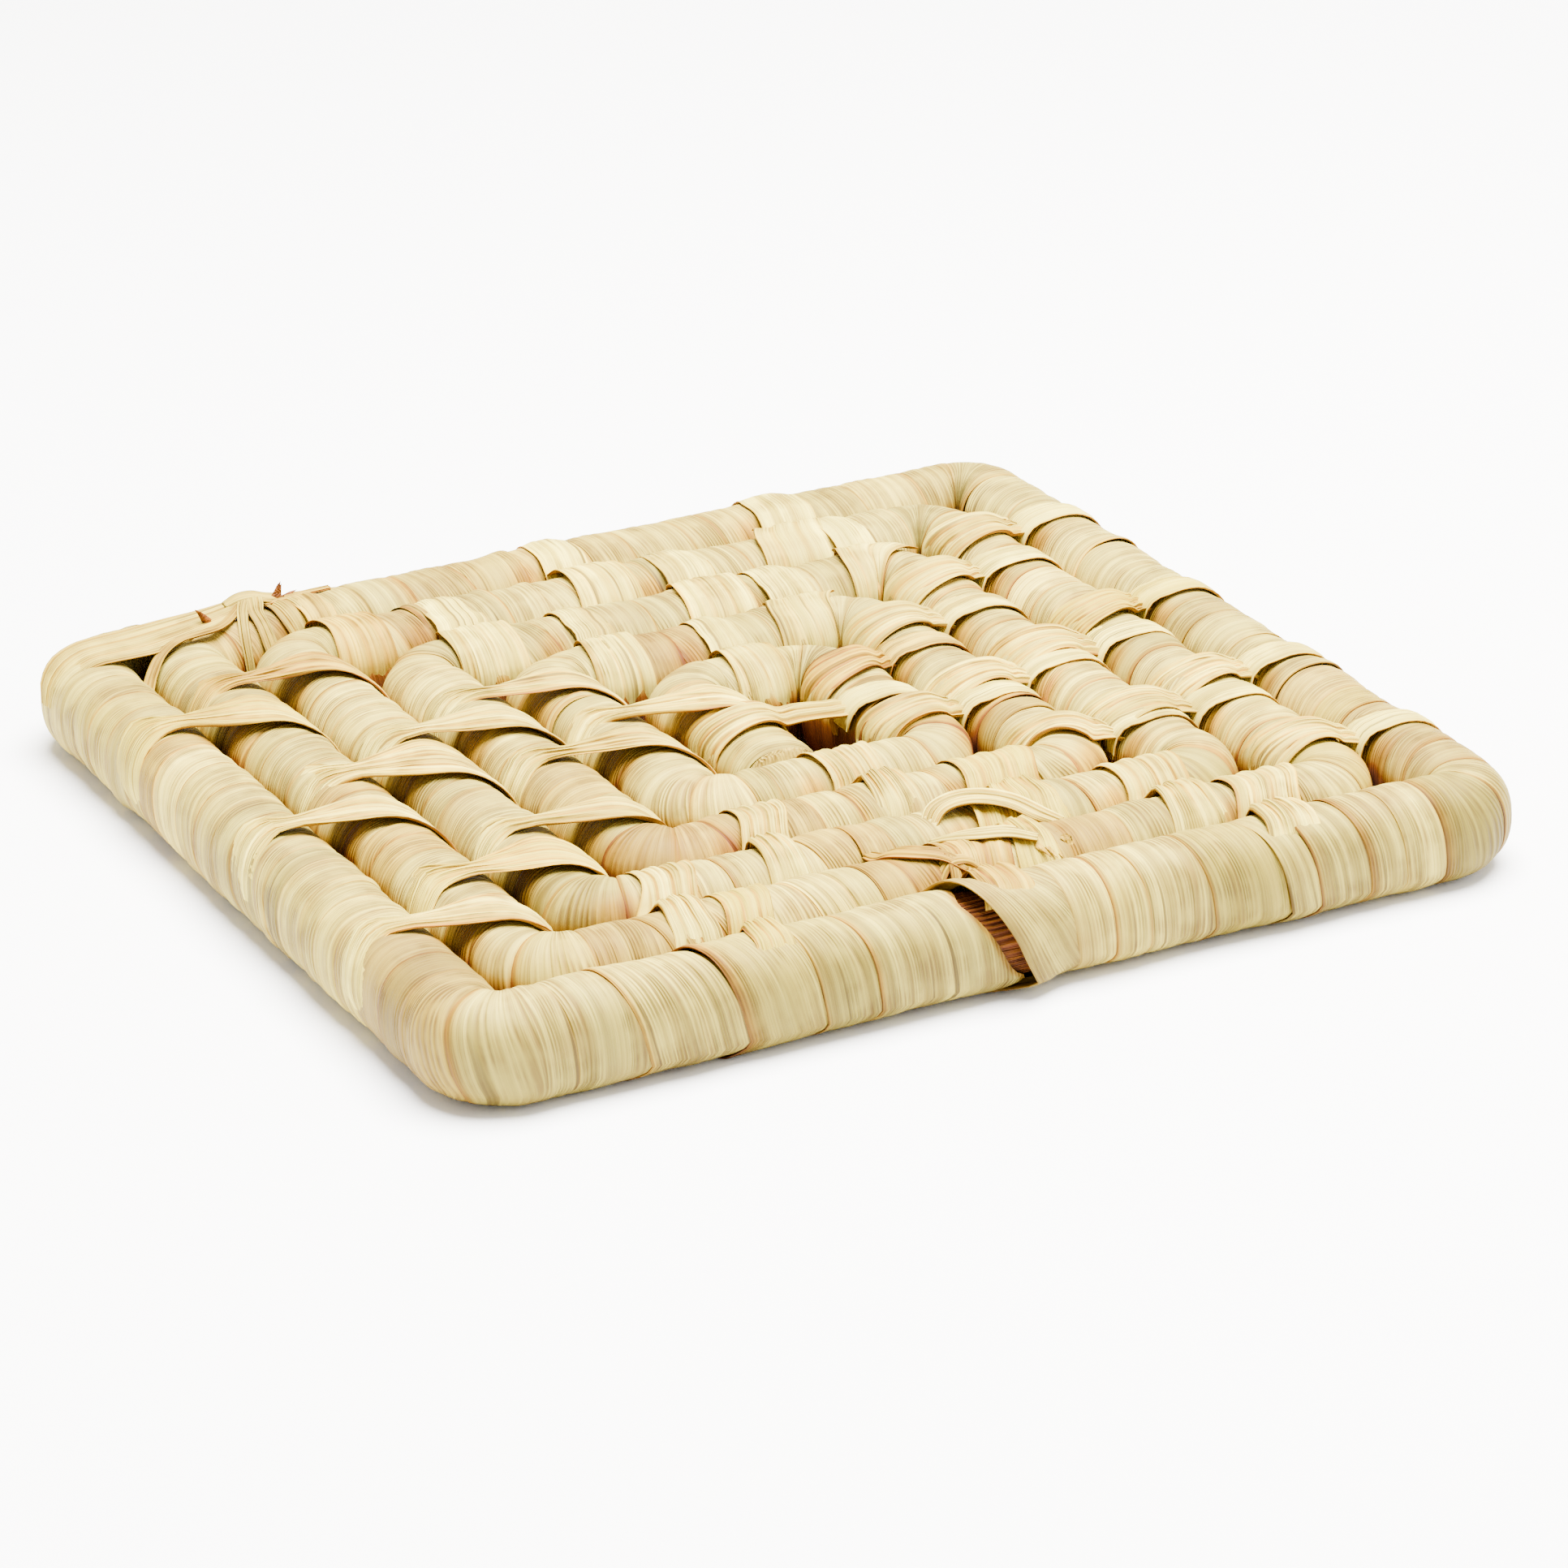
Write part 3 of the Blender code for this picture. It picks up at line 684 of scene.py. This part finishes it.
def core_strands(bag):
    """Strands of the core, seen under the wrap that stands open on the front edge."""
    reach = np.linspace(place("front_0", -14), place("front_0", 9), 47)[:, None]
    angle = np.linspace(-140, 30, 120)[None, :]
    strands = np.abs(np.sin(angle / 2.6 + 0.5 * np.sin(reach / 5.0)))
    core = on_cord(reach, angle, -2.0 + 0.55 * strands)[0]
    fibre = np.stack(np.broadcast_arrays(angle * 0.5, reach, 0.0 * angle), -1)
    tone = np.zeros(core.shape[:2] + (4,))
    tone[..., 0], tone[..., 1] = 0.6, 0.3
    tone[..., 3] = 2.3 - 1.2 * strands
    bag.grid(core, fibre, tone)


def gap_shade_sheet(bag):
    """A dark sheet low in the gap beside the inner end: painted shade."""
    deep = np.array([[(x, y, 1.6 + 0.5 * math.sin(x * 1.3 + y)) for x in np.linspace(2.5, 16.5, 8)]
                     for y in np.linspace(-24, 14, 20)])
    bag.grid(deep, deep, np.array([0.4, 0.2, 0.0, 2.4]))


def end_cap(bag, s, sign):
    """Rounded end of the cord: rings that shrink to its middle and bulge out."""
    ring = on_cord(s, COLUMNS, BASE_LIFT)[0]
    middle = ring.mean(0)
    turned = np.interp(s, TABLE[:, 0], TABLE[:, 3])
    way = np.array([math.cos(turned), math.sin(turned), 0])
    rings = []
    for scale in (1.0, 0.93, 0.75, 0.45, 0.0):
        bulge = sign * CAP_BULGE * math.sqrt(1 - scale * scale)
        rings.append(middle + (ring - middle) * scale + way * bulge)
    cap = np.array(rings[::sign])
    fibre = np.stack([cap[..., 0], cap[..., 2] * 0.2, cap[..., 1]], -1)
    bag.grid(cap, fibre, np.array([0.5, 0.1, 0.1, 0.2]))


def build_coil():
    """The cord's wraps as four pieces: its three outer turns and the rest."""
    found = seams()
    curves = seam_curves(found)
    limits = [RUNS["step"]["from"], RUNS["left_2"]["from"], RUNS["left_3"]["from"], LENGTH + 1]
    bags = [Bag() for _ in limits]
    swell, streak = Waves(6), Waves(6)
    hollows = tie_hollows()
    for i, seam in enumerate(found):
        following = found[i + 1] if i + 1 < len(found) else None
        bag = bags[next(k for k, limit in enumerate(limits) if seam[0] < limit)]
        lay_wrap(bag, i, seam, following, curves[i], curves[i + 1], swell, streak, hollows)
    core_strands(bags[0])
    # a dark sheet of painted shade in the gap beside the inner end
    gap_shade_sheet(bags[-1])
    end_cap(bags[0], 0.0, -1)
    end_cap(bags[-1], LENGTH, 1)
    names = ("wraps_outer", "wraps_second", "wraps_third", "wraps_inner")
    return [bag.build(name, wrap_husk) for bag, name in zip(bags, names)]


# Outer part of a tie: angle on the outer run, the strip's middle from the neck, half width as a share
# of the fan's, and lift
OUTER_ROWS = {
    "left": ((-125, 0.5, 0.78, -0.6), (-92, 0.5, 0.80, -0.05), (-66, 1.5, 0.80, 0.15),
             (-42, 2.6, 0.80, 0.20), (-22, 3.6, 0.76, 0.15), (-9, 2.8, 0.60, 0.35),
             (2, 1, 0.42, 0.65), (12, 0, 0.33, 0.95)),
    "right": ((82, 0, 0.44, -1), (66, 0, 0.45, 0.1), (52, 0, 0.47, 0.8)),
    "front": ((-92, 0, 0.88, -0.1), (-66, 0, 0.84, 0.1), (-40, 0, 0.78, 0.2),
              (-16, 0, 0.72, 0.3), (6, 0, 0.66, 0.5), (24, 0, 0.60, 0.8)),
    "back": ((88, 0, 0.80, -1.2), (72, 0, 0.82, -0.2), (54, 0, 0.84, 0.5)),
}
# How far down the outer run's outside a tie comes out, as an angle, where the side and run are named
LOWEST_ROW = {("left", 0): -200, ("front", 0): -50}
USUAL_LOWEST_ROW = -100
# Fan of a tie: angle on the inner run, share of the fan's half width, lift, and drift along the side
FAN_ROWS = {
    "left": ((14, 0.92, 1.05, 0), (2, 1, 0.9, -0.4), (-10, 1.04, 0.75, -1.4),
             (-22, 1.06, 0.6, -2.8), (-34, 1.08, 0.5, -4.2), (-46, 1.08, 0.35, -5.6),
             (-60, 1.08, 0.15, -7), (-78, 1.05, -0.3, -8.5)),
    "right": ((42, 0.62, 1.1, 0), (26, 0.76, 1, 0), (10, 0.90, 0.85, 0),
              (-4, 1, 0.65, 0), (-22, 1.05, 0.45, 0), (-40, 1.10, 0.30, 0.5),
              (-58, 1.12, 0.1, 1), (-76, 1.12, -0.4, 1)),
    "front": ((62, 0.95, 0.6, 0), (44, 0.92, 0.6, 0), (26, 0.92, 0.6, 0),
              (10, 0.96, 0.55, 0), (-6, 1, 0.5, 0), (-24, 1.03, 0.4, 0),
              (-44, 1.06, 0.25, 0), (-70, 1.08, -0.3, 0)),
    "back": ((40, 0.92, 0.9, 0), (24, 0.95, 0.75, 0), (8, 0.98, 0.6, 0),
             (-8, 1, 0.5, 0), (-26, 1.02, 0.45, 0), (-46, 1.04, 0.35, 0),
             (-66, 1.06, 0.2, 0), (-88, 1.06, -0.4, 0)),
}
NECK_SHIFT = {"left": -3.0, "right": 0.0, "front": 0.0, "back": 0.0}
BRIDGE_RISE = {"left": -0.15, "right": 0.2, "front": -0.6, "back": 0.1}
# Height of the pleats at the neck and on the fan
PLEATS = {"left": (0.80, 0.42), "right": (0.95, 0.62), "front": (0.60, 0.40), "back": (0.34, 0.24)}
BAND_ANGLES = (-126, -108, -88, -66, -44, -22, 0, 20, 38, 54, 68)
# Share of the curl on the edge away from the front or the left, and wander of a tie's rows
FAR_CURL = 0.3
WANDER = 0.3

# A strip's points across it, its rows, its thickness and the range in which its fibre pattern starts
ACROSS = np.linspace(-1, 1, 45)
STRIP_ROWS = 34
STRIP_THICKNESS = 0.34
FIBRE_SPREAD = 821.7


def spline(controls, count):
    """Smooth curves through rows of control points, evenly spaced by the middle column's length."""
    middle = controls[:, controls.shape[1] // 2]
    gaps = np.linalg.norm(np.diff(middle, axis=0), axis=1)
    knots = np.concatenate([[0], np.cumsum(gaps)])
    wanted = np.linspace(0, knots[-1], count)
    slopes = np.gradient(controls, knots, axis=0)
    k = np.clip(np.searchsorted(knots, wanted, side="right") - 1, 0, len(knots) - 2)
    span = (knots[k + 1] - knots[k])[:, None, None]
    t = (wanted - knots[k])[:, None, None] / span
    a, b, ma, mb = controls[k], controls[k + 1], slopes[k], slopes[k + 1]
    value = ((2 * t**3 - 3 * t**2 + 1) * a + (t**3 - 2 * t**2 + t) * span * ma
             + (-2 * t**3 + 3 * t**2) * b + (t**3 - t**2) * span * mb)
    return value, wanted, knots


def normals_of(points):
    normal = np.cross(*np.gradient(points, axis=(0, 1)))
    return normal / (np.linalg.norm(normal, axis=-1, keepdims=True) + 1e-9)


def strip(bag, controls, pleats, arch, curl, tone, width, count=STRIP_ROWS):
    """A thin closed strip over rows of points.

    The heights of its pleats, its arch and the curl of its two edges are numbers, or a row of them
    for each row of points.
    """
    points, wanted, knots = spline(np.array(controls), count)
    up = normals_of(points)
    flip = 1
    if up[..., 2].mean() < 0:
        points = points[:, ::-1]
        up = normals_of(points)
        flip = -1
    c = ACROSS[None, :]
    wander, crumple = Waves(3), Waves(5)
    first, second = dice.uniform(1.2, 1.8), dice.uniform(2.8, 3.6)
    phase, other = dice.random(), dice.random()
    pleat, arching, low, high = (np.interp(wanted, knots, np.broadcast_to(row, knots.shape))[:, None]
                                 for row in (pleats, arch, *curl))
    shift = 0.05 * wander(wanted / 25.0)[:, None]
    big = np.abs(np.sin(np.pi * (first * (c + shift) + phase)))
    small = np.abs(np.sin(np.pi * (second * (c + 2.0 * shift) + other)))
    ridges = 1.1 * (big - 0.64) + 0.45 * (small - 0.64)
    crease_shade = np.exp(-big / 0.24) + 0.6 * np.exp(-small / 0.30)
    lift = pleat * ridges + arching * np.sqrt(np.clip(1 - (c * 0.97) ** 2, 0, 1))
    lift = lift + low * np.exp(-(c * flip + 1) / 0.22) + high * np.exp(-(1 - c * flip) / 0.22)
    lift = lift + 0.07 * crumple(wanted[:, None] / 16.0, c * 0.8)
    points = points + up * lift[..., None]
    up = normals_of(points)
    edge = np.minimum(1, (1 - np.abs(c)) / 0.07)
    under = points - up * (STRIP_THICKNESS * (0.35 + 0.65 * edge))[..., None]
    loop = np.concatenate([points, under[:, ::-1]], 1)
    start, end = (np.broadcast_to(row.mean(1, keepdims=True), loop[:1].shape)
                  for row in (under[:1], under[-1:]))
    loop = np.concatenate([start, loop, end], 0)
    u = np.concatenate([ACROSS, ACROSS[::-1]]) * width + FIBRE_SPREAD * dice.random()
    v = np.concatenate([[0], wanted, wanted[-1:]])[:, None]
    shape = loop.shape[:2]
    fibre = np.stack([np.broadcast_to(u, shape), np.broadcast_to(v, shape),
                      np.full(shape, dice.uniform(0, 50))], -1)
    tones = np.zeros(shape + (4,)) + tone
    tones[..., 0] += dice.gauss(0, 0.04)
    # brown on the rims and underneath, painted shade in the creases, and a little yellow where the
    # strip is gathered
    rim = np.exp(-(1 - np.abs(np.tile(ACROSS, 2))) / 0.04)
    gathered = np.concatenate([[0], pleat[:, 0], [0]])[:, None]
    tones[..., 2] += 0.20 * gathered
    tones[..., 3] += 0.40 * rim + 0.08 * gathered
    tones[:, len(ACROSS):, 3] += 0.7
    # painted shade in the creases between the pleats
    tones[1:-1, :len(ACROSS), 3] += 1.1 * crease_shade * np.clip(pleat / 0.8, 0, 1)
    bag.grid(loop, fibre, tones, closed=True)


def outer_part(side, run, at, s_neck, half, near):
    """Rows of a tie from the outside of the outer run to its neck."""
    most, least = PLEATS[side][0], 0.06
    lowest = LOWEST_ROW.get((side, run), USUAL_LOWEST_ROW)
    shapes = [row for row in OUTER_ROWS[side] if row[0] > lowest]
    rows = []
    for i, (angle, shift, share, lift) in enumerate(shapes):
        middle = s_neck + shift * at["outer_way"] + dice.uniform(-WANDER, WANDER)
        close = (i + 1) / len(shapes) if side in ("right", "back") else smooth(-45, 14, angle)
        up = lift
        if (side, run) == ("front", 0) and i == 0:
            up = lift - 0.9
        if side == "right":
            up = lift - 1.3 * near * ACROSS
        if side == "left":
            up = lift - 0.5 * smooth(0.2, 1.0, -near * ACROSS) * smooth(-8, -50, angle)
            up = up - 0.35 * smooth(0.3, 1.0, near * ACROSS) * smooth(4, -20, angle)
        points = on_cord(middle + ACROSS * half * share, angle, up)[0]
        rows.append((points, least + (most - least) * close, 0.1 + 0.9 * close, 0.08, 0.08 * FAR_CURL))
    return rows


def fan_part(side, at, s_neck, half, near, lead):
    """Rows of a tie over the inner run; lead is how far the fan lies past the neck, along the side."""
    most, least = PLEATS[side]
    same = at["outer_way"] * at["inner_way"]
    reach = at["fan"] + (s_neck - at["neck"]) * 0.25 * same
    rows = []
    for k, (angle, share, lift, drift) in enumerate(FAN_ROWS[side]):
        back = 0.0 if side == "left" else 1 - smooth(0, 3.5, k)
        middle = reach + (drift - 0.5 * back * lead) * at["inner_way"]
        tilt = 0.9 * smooth(3, 0, k) if side == "right" else 0.0
        points = on_cord(middle + same * ACROSS * half * share, at["to_outer"] * angle,
                         lift - tilt * near * ACROSS)[0]
        gather = 1 - smooth(-2.5, 3.5, k)
        curl = 0.10 + 0.35 * smooth(7.5, 1.5, k)
        rows.append((points, least + (most - least) * gather, 0.15 + 0.9 * gather,
                     curl, curl * FAR_CURL))
    return rows


def tie(bag, side, run, fan, neck, width, kind="plain"):
    """A tie: its part on the outer run, a bridge over the valley and its fan on the inner run.

    Each of its rows has the points, the heights of pleats and arch, and the curl of the two edges.
    """
    at = tie_places(side, run, fan, neck)
    half = width / 2
    s_neck = at["neck"] + NECK_SHIFT[side] * at["outer_way"]
    # which end of the strip's width is nearer the front or the left
    near = -at["outer_way"]
    rows = outer_part(side, run, at, s_neck, half, near)
    fan_rows = fan_part(side, at, s_neck, half, near, fan - neck - NECK_SHIFT[side])
    last, first = rows[-1][0], fan_rows[0][0]
    for t in (0.25, 0.5, 0.75):
        rise = (0, 0, BRIDGE_RISE[side] * math.sin(math.pi * t))
        rows.append((last * (1 - t) + first * t + rise, PLEATS[side][0], 0.95, 0.25, 0.1))
    controls, pleats, arch, near_curl, far_curl = zip(*rows, *fan_rows)
    curl = (near_curl, far_curl) if near < 0 else (far_curl, near_curl)
    strip(bag, controls, pleats, arch, curl, TONES[kind], half * 0.9)
    if side in ("right", "back"):
        band(bag, at, half, near, kind)


def band(bag, at, half, near, kind):
    """The part of a tie that goes round the outer run, under which its strip comes out."""
    controls = []
    for angle in BAND_ANGLES:
        middle = at["neck"] + dice.uniform(-WANDER, WANDER)
        lift = 0.45 + 0.35 * math.cos(math.radians(angle)) - 1.0 * smooth(0.1, 1.0, -near * ACROSS)
        lift = lift + 0.9 * smooth(10, 50, angle) - 0.5 * smooth(54, 68, angle)
        lift = lift - 0.5 * smooth(0.45, 1.0, near * ACROSS) * smooth(45, 15, angle)
        lift = lift - 0.9 * smooth(-100, -126, angle)
        controls.append(on_cord(middle + ACROSS * half * 0.8, angle, lift)[0])
    curl = (0.3, 0.0) if near < 0 else (0.0, 0.3)
    strip(bag, controls, 0.08, 0.1, curl, TONES[kind], half * 0.8, count=22)


def build_ties():
    """One piece for the ties of each side; the loose strips on the front runs go with the front's."""
    made = []
    for side, rows in TIES.items():
        bag = Bag()
        for row in rows:
            tie(bag, side, *row)
        if side == "front":
            for row in FRONT_STRIPS:
                lay(bag, *row)
            for row in FRONT_TUFT:
                strand(bag, *row, tone=FIBRE)
        made.append(bag.build(f"ties_{side}", tie_husk))
    return made


# Tones of the loose strips and fibres
TAN = (0.52, 0.0, 0.25, 0.30)
PALE = (0.56, 0.0, 0.20, 0.05)
LIGHT = (0.57, 0.0, 0.10, 0.0)
RUST = (0.40, 0.0, 0.0, 1.35)
FIBRE = (0.46, 0.2, 0.1, 0.45)

# Loose strips: tone, pleat, arch, then x, y, z and half width along each
KNOT_STRIPS = (
    (PALE, 0.22, 0.5, ((-58.2, 91.2, 20.2, 1.3), (-60.0, 88.0, 19.5, 1.1), (-61.3, 84.6, 18.9, 1.0),
                       (-62.2, 81.8, 17.2, 1.0), (-62.6, 79.6, 13.8, 0.9), (-62.6, 78.6, 10.0, 0.9))),
    (PALE, 0.25, 0.7, ((-56.6, 91.0, 20.2, 1.6), (-57.4, 88.4, 19.8, 1.6), (-58.2, 85.8, 19.2, 1.4),
                       (-58.1, 83.4, 17.8, 1.4), (-57.8, 81.2, 14.8, 1.5), (-57.4, 79.9, 11.0, 1.4))),
    (PALE, 0.25, 1.4, ((-61.5, 92.5, 18.6, 1.6), (-59.0, 92.4, 19.6, 2.2), (-56.6, 92.2, 19.7, 2.4),
                       (-54.0, 92.2, 18.9, 2.2), (-51.0, 92.4, 18.2, 1.6))),
    (TAN, 0.15, 0.4, ((-55.0, 90.6, 19.0, 0.9), (-50.5, 91.4, 18.9, 0.9), (-46.0, 92.3, 18.8, 0.9),
                      (-41.0, 93.2, 18.5, 0.7))),
)
# Stiff fibres: where each starts and where its tip is
TUFT = ((-54.2, 91.4, 18.3, -53.0, 90.8, 19.4), (-52.6, 91.6, 18.4, -51.4, 91.6, 21.9),
        (-53.6, 91.2, 18.3, -52.6, 91.2, 19.9), (-53.2, 91.0, 18.4, -51.8, 91.3, 21.4),
        (-52.8, 91.2, 18.4, -51.1, 91.2, 22.4), (-52.3, 91.0, 18.5, -50.9, 91.4, 21.8),
        (-51.9, 91.1, 18.5, -50.6, 91.0, 19.7), (-51.0, 91.6, 18.6, -47.6, 92.6, 19.6),
        (-67.2, 87.6, 19.2, -69.6, 86.8, 22.0))
STRAP_STRIPS = (
    (PALE, 0.30, 0.9, ((-99.3, 83.2, 10.6, 3.0), (-98.4, 83.4, 14.0, 4.4), (-95.6, 84.0, 16.9, 5.8),
                       (-92.0, 84.5, 18.3, 6.4), (-87.5, 84.6, 18.6, 7.0), (-82.0, 85.4, 18.4, 7.4),
                       (-76.5, 87.4, 18.1, 6.8), (-71.0, 88.9, 18.1, 6.0), (-65.5, 90.2, 18.3, 4.8),
                       (-60.5, 91.4, 18.8, 3.6), (-57.6, 92.0, 19.4, 2.2))),
    (TAN, 0.20, 0.5, ((-84.6, 73.2, 13.0, 1.2), (-82.6, 75.6, 15.6, 1.2), (-79.6, 78.0, 18.2, 1.2),
                      (-75.6, 79.8, 19.4, 1.2), (-71.8, 80.4, 19.6, 1.2), (-68.6, 81.0, 19.6, 1.2),
                      (-65.6, 83.6, 19.1, 1.1), (-62.6, 87.0, 19.0, 1.1), (-59.6, 90.2, 19.6, 1.1))),
)
FRONT_STRIPS = (
    (LIGHT, 0.6, 0.7, ((3.0, -62.5, 16.6, 1.8), (5.0, -61.4, 18.7, 2.4), (8.0, -61.0, 19.5, 3.0),
                       (12.5, -61.8, 19.6, 3.3), (17.5, -64.5, 18.6, 3.0), (21.0, -68.5, 16.8, 2.4),
                       (22.5, -72.0, 16.4, 1.8))),
    (TAN, 0.5, 0.5, ((-10.5, -66.5, 15.8, 1.2), (-9.8, -69.5, 16.4, 1.8), (-8.6, -73.0, 18.3, 2.2),
                     (-6.0, -76.5, 19.0, 2.2), (-2.5, -79.0, 18.6, 1.9), (0.5, -81.5, 16.6, 1.3))),
    (LIGHT, 0.5, 0.5, ((0.5, -68.5, 16.4, 1.4), (2.5, -72.0, 18.2, 2.0), (6.0, -75.2, 19.2, 2.4),
                       (10.5, -77.0, 19.2, 2.4), (14.5, -79.5, 18.2, 1.8))),
    (TAN, 0.4, 0.4, ((-5.5, -81.5, 14.8, 1.2), (-2.5, -80.0, 17.8, 1.6), (1.0, -80.5, 17.8, 1.5),
                     (4.0, -83.0, 15.0, 1.0))),
)
FRONT_TUFT = ((13.6, -80.0, 17.6, 15.2, -83.4, 15.8), (14.8, -79.6, 17.6, 16.4, -83.1, 15.4),
              (16.0, -79.2, 17.6, 17.6, -82.8, 15.0), (17.2, -78.8, 17.6, 18.8, -82.5, 14.6),
              (18.4, -78.4, 17.6, 20.0, -82.2, 14.2), (19.4, -80.0, 17.6, 21.0, -81.9, 13.8))

# The knot's bunched strip over the outer run: place, and half width at each section angle
KNOT_X = -51.2
KNOT_ANGLES = (74, 56, 40, 24, 8, -8, -24, -40, -58)
KNOT_HALF = (3.6, 4.0, 4.4, 4.4, 4.0, 3.6, 3.4, 3.2, 3.0)


def lay(bag, tone, pleat, arch, path):
    """A loose strip along a path of places and half widths."""
    path = np.array(path)
    x, y = np.gradient(path[:, :2], axis=0).T
    side = np.stack([-y, x, 0 * x], -1) / np.hypot(x, y)[:, None]
    rows = path[:, None, :3] + side[:, None] * ACROSS[:, None] * path[:, None, 3:]
    strip(bag, rows, pleat, arch, (0.1, 0.1), tone, path[:, 3].max(), count=30)


def strand(bag, *places, tone=RUST):
    """A stiff fibre from one place to another that tapers to its tip."""
    start, end = np.reshape(places, (2, 3))
    turn = np.linspace(0, 2 * math.pi, 6, endpoint=False)
    ring = np.stack([np.cos(turn), 0.4 * np.sin(turn), 0.5 * np.sin(turn)], -1)
    rows = []
    for t in (0, 0.3, 0.6, 0.85, 1):
        middle = start + (end - start) * t + (0, 0, 0.25 * math.sin(3 * t))
        rows.append(middle + ring * (0.95 * (1 - t) + 0.06))
    rows = np.array(rows)
    bag.grid(rows, rows, np.array(tone), closed=True)


def build_end():
    """The knot on the outer end with its loose strips and fibres, and the strap that leads to it."""
    bag = Bag()
    middle = place("step", KNOT_X)
    rows = [on_cord(middle + ACROSS * half, angle, 0.35)[0]
            for angle, half in zip(KNOT_ANGLES, KNOT_HALF)]
    strip(bag, rows, 0.3, 0.5, (0.1, 0.1), PALE, 5.0)
    for row in KNOT_STRIPS:
        lay(bag, *row)
    for row in TUFT:
        strand(bag, *row)
    knot = bag.build("outer_end_knot", end_husk)
    bag = Bag()
    for row in STRAP_STRIPS:
        lay(bag, *row)
    strap = bag.build("outer_end_strap", end_husk)
    return knot, strap


coil = build_coil()
ties = build_ties()
knot, strap = build_end()

for piece in coil + ties + [knot, strap]:
    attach(piece, "root")
for piece in coil:
    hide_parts("coil")
for piece in ties:
    side = piece.name.split("_")[1]
    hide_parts(*[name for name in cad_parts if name.startswith(f"tie_{side}_")])
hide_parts("end_knot")
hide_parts("end_strap")

# Floor, light and camera, in metres
FLOOR_HALF = 6
FLOOR_Z = -0.0002
floor_nodes = Nodes("floor")
floor_nodes.fill(floor_nodes.shader, {"Base Color": (0.93, 0.93, 0.93, 1), "Roughness": 0.9,
                                      "Specular IOR Level": 0.1})
mesh = bpy.data.meshes.new("floor")
corners = [(x * FLOOR_HALF, y * FLOOR_HALF, FLOOR_Z) for x, y in ((-1, -1), (1, -1), (1, 1), (-1, 1))]
mesh.from_pydata(corners, [], [(0, 1, 2, 3)])
mesh.materials.append(floor_nodes.material)
floor = bpy.data.objects.new("floor", mesh)
bpy.context.scene.collection.objects.link(floor)

world = bpy.data.worlds.new("studio")
world.use_nodes = True
background = world.node_tree.nodes["Background"]
background.inputs["Color"].default_value = (1.0, 0.985, 0.955, 1)
background.inputs["Strength"].default_value = 1.2
bpy.context.scene.world = world


def softbox(name, power, size, where, colour):
    """A round area light that faces the mat's middle."""
    light = bpy.data.lights.new(name, "AREA")
    light.energy = power
    light.shape = "DISK"
    light.size = size
    light.color = colour
    obj = bpy.data.objects.new(name, light)
    obj.location = where
    obj.rotation_mode = "QUATERNION"
    obj.rotation_quaternion = (-Vector(where)).to_track_quat("-Z", "Y")
    bpy.context.scene.collection.objects.link(obj)


softbox("key", 234.0, 1.2, (0.18, -0.09, 1.30), (1, 0.985, 0.96))
softbox("fill", 14.0, 0.9, (1.0, -0.9, 0.8), (1, 0.99, 0.97))

# Camera at the photo's angle: turn, tilt and roll in radians, focal length in millimetres
TURN, TILT, ROLL = -0.436292704, 0.388947529, -0.0456037666
DISTANCE, FOCAL = 1.12569743, 146.57
TARGET = Vector((0.0079228, 0.0041326, 0.0))
back = Vector((math.sin(TURN) * math.cos(TILT), -math.cos(TURN) * math.cos(TILT), math.sin(TILT)))
right = Vector((math.cos(TURN), math.sin(TURN), 0))
up = back.cross(right)
rolled = math.cos(ROLL) * right + math.sin(ROLL) * up
raised = -math.sin(ROLL) * right + math.cos(ROLL) * up
camera_data = bpy.data.cameras.new("camera")
camera_data.sensor_width = 36
camera_data.lens = FOCAL
camera_data.clip_start = 0.05
camera = bpy.data.objects.new("camera", camera_data)
axes = [(rolled[i], raised[i], back[i], TARGET[i] + back[i] * DISTANCE) for i in range(3)]
camera.matrix_world = Matrix([*axes, (0, 0, 0, 1)])
bpy.context.scene.collection.objects.link(camera)
bpy.context.scene.camera = camera
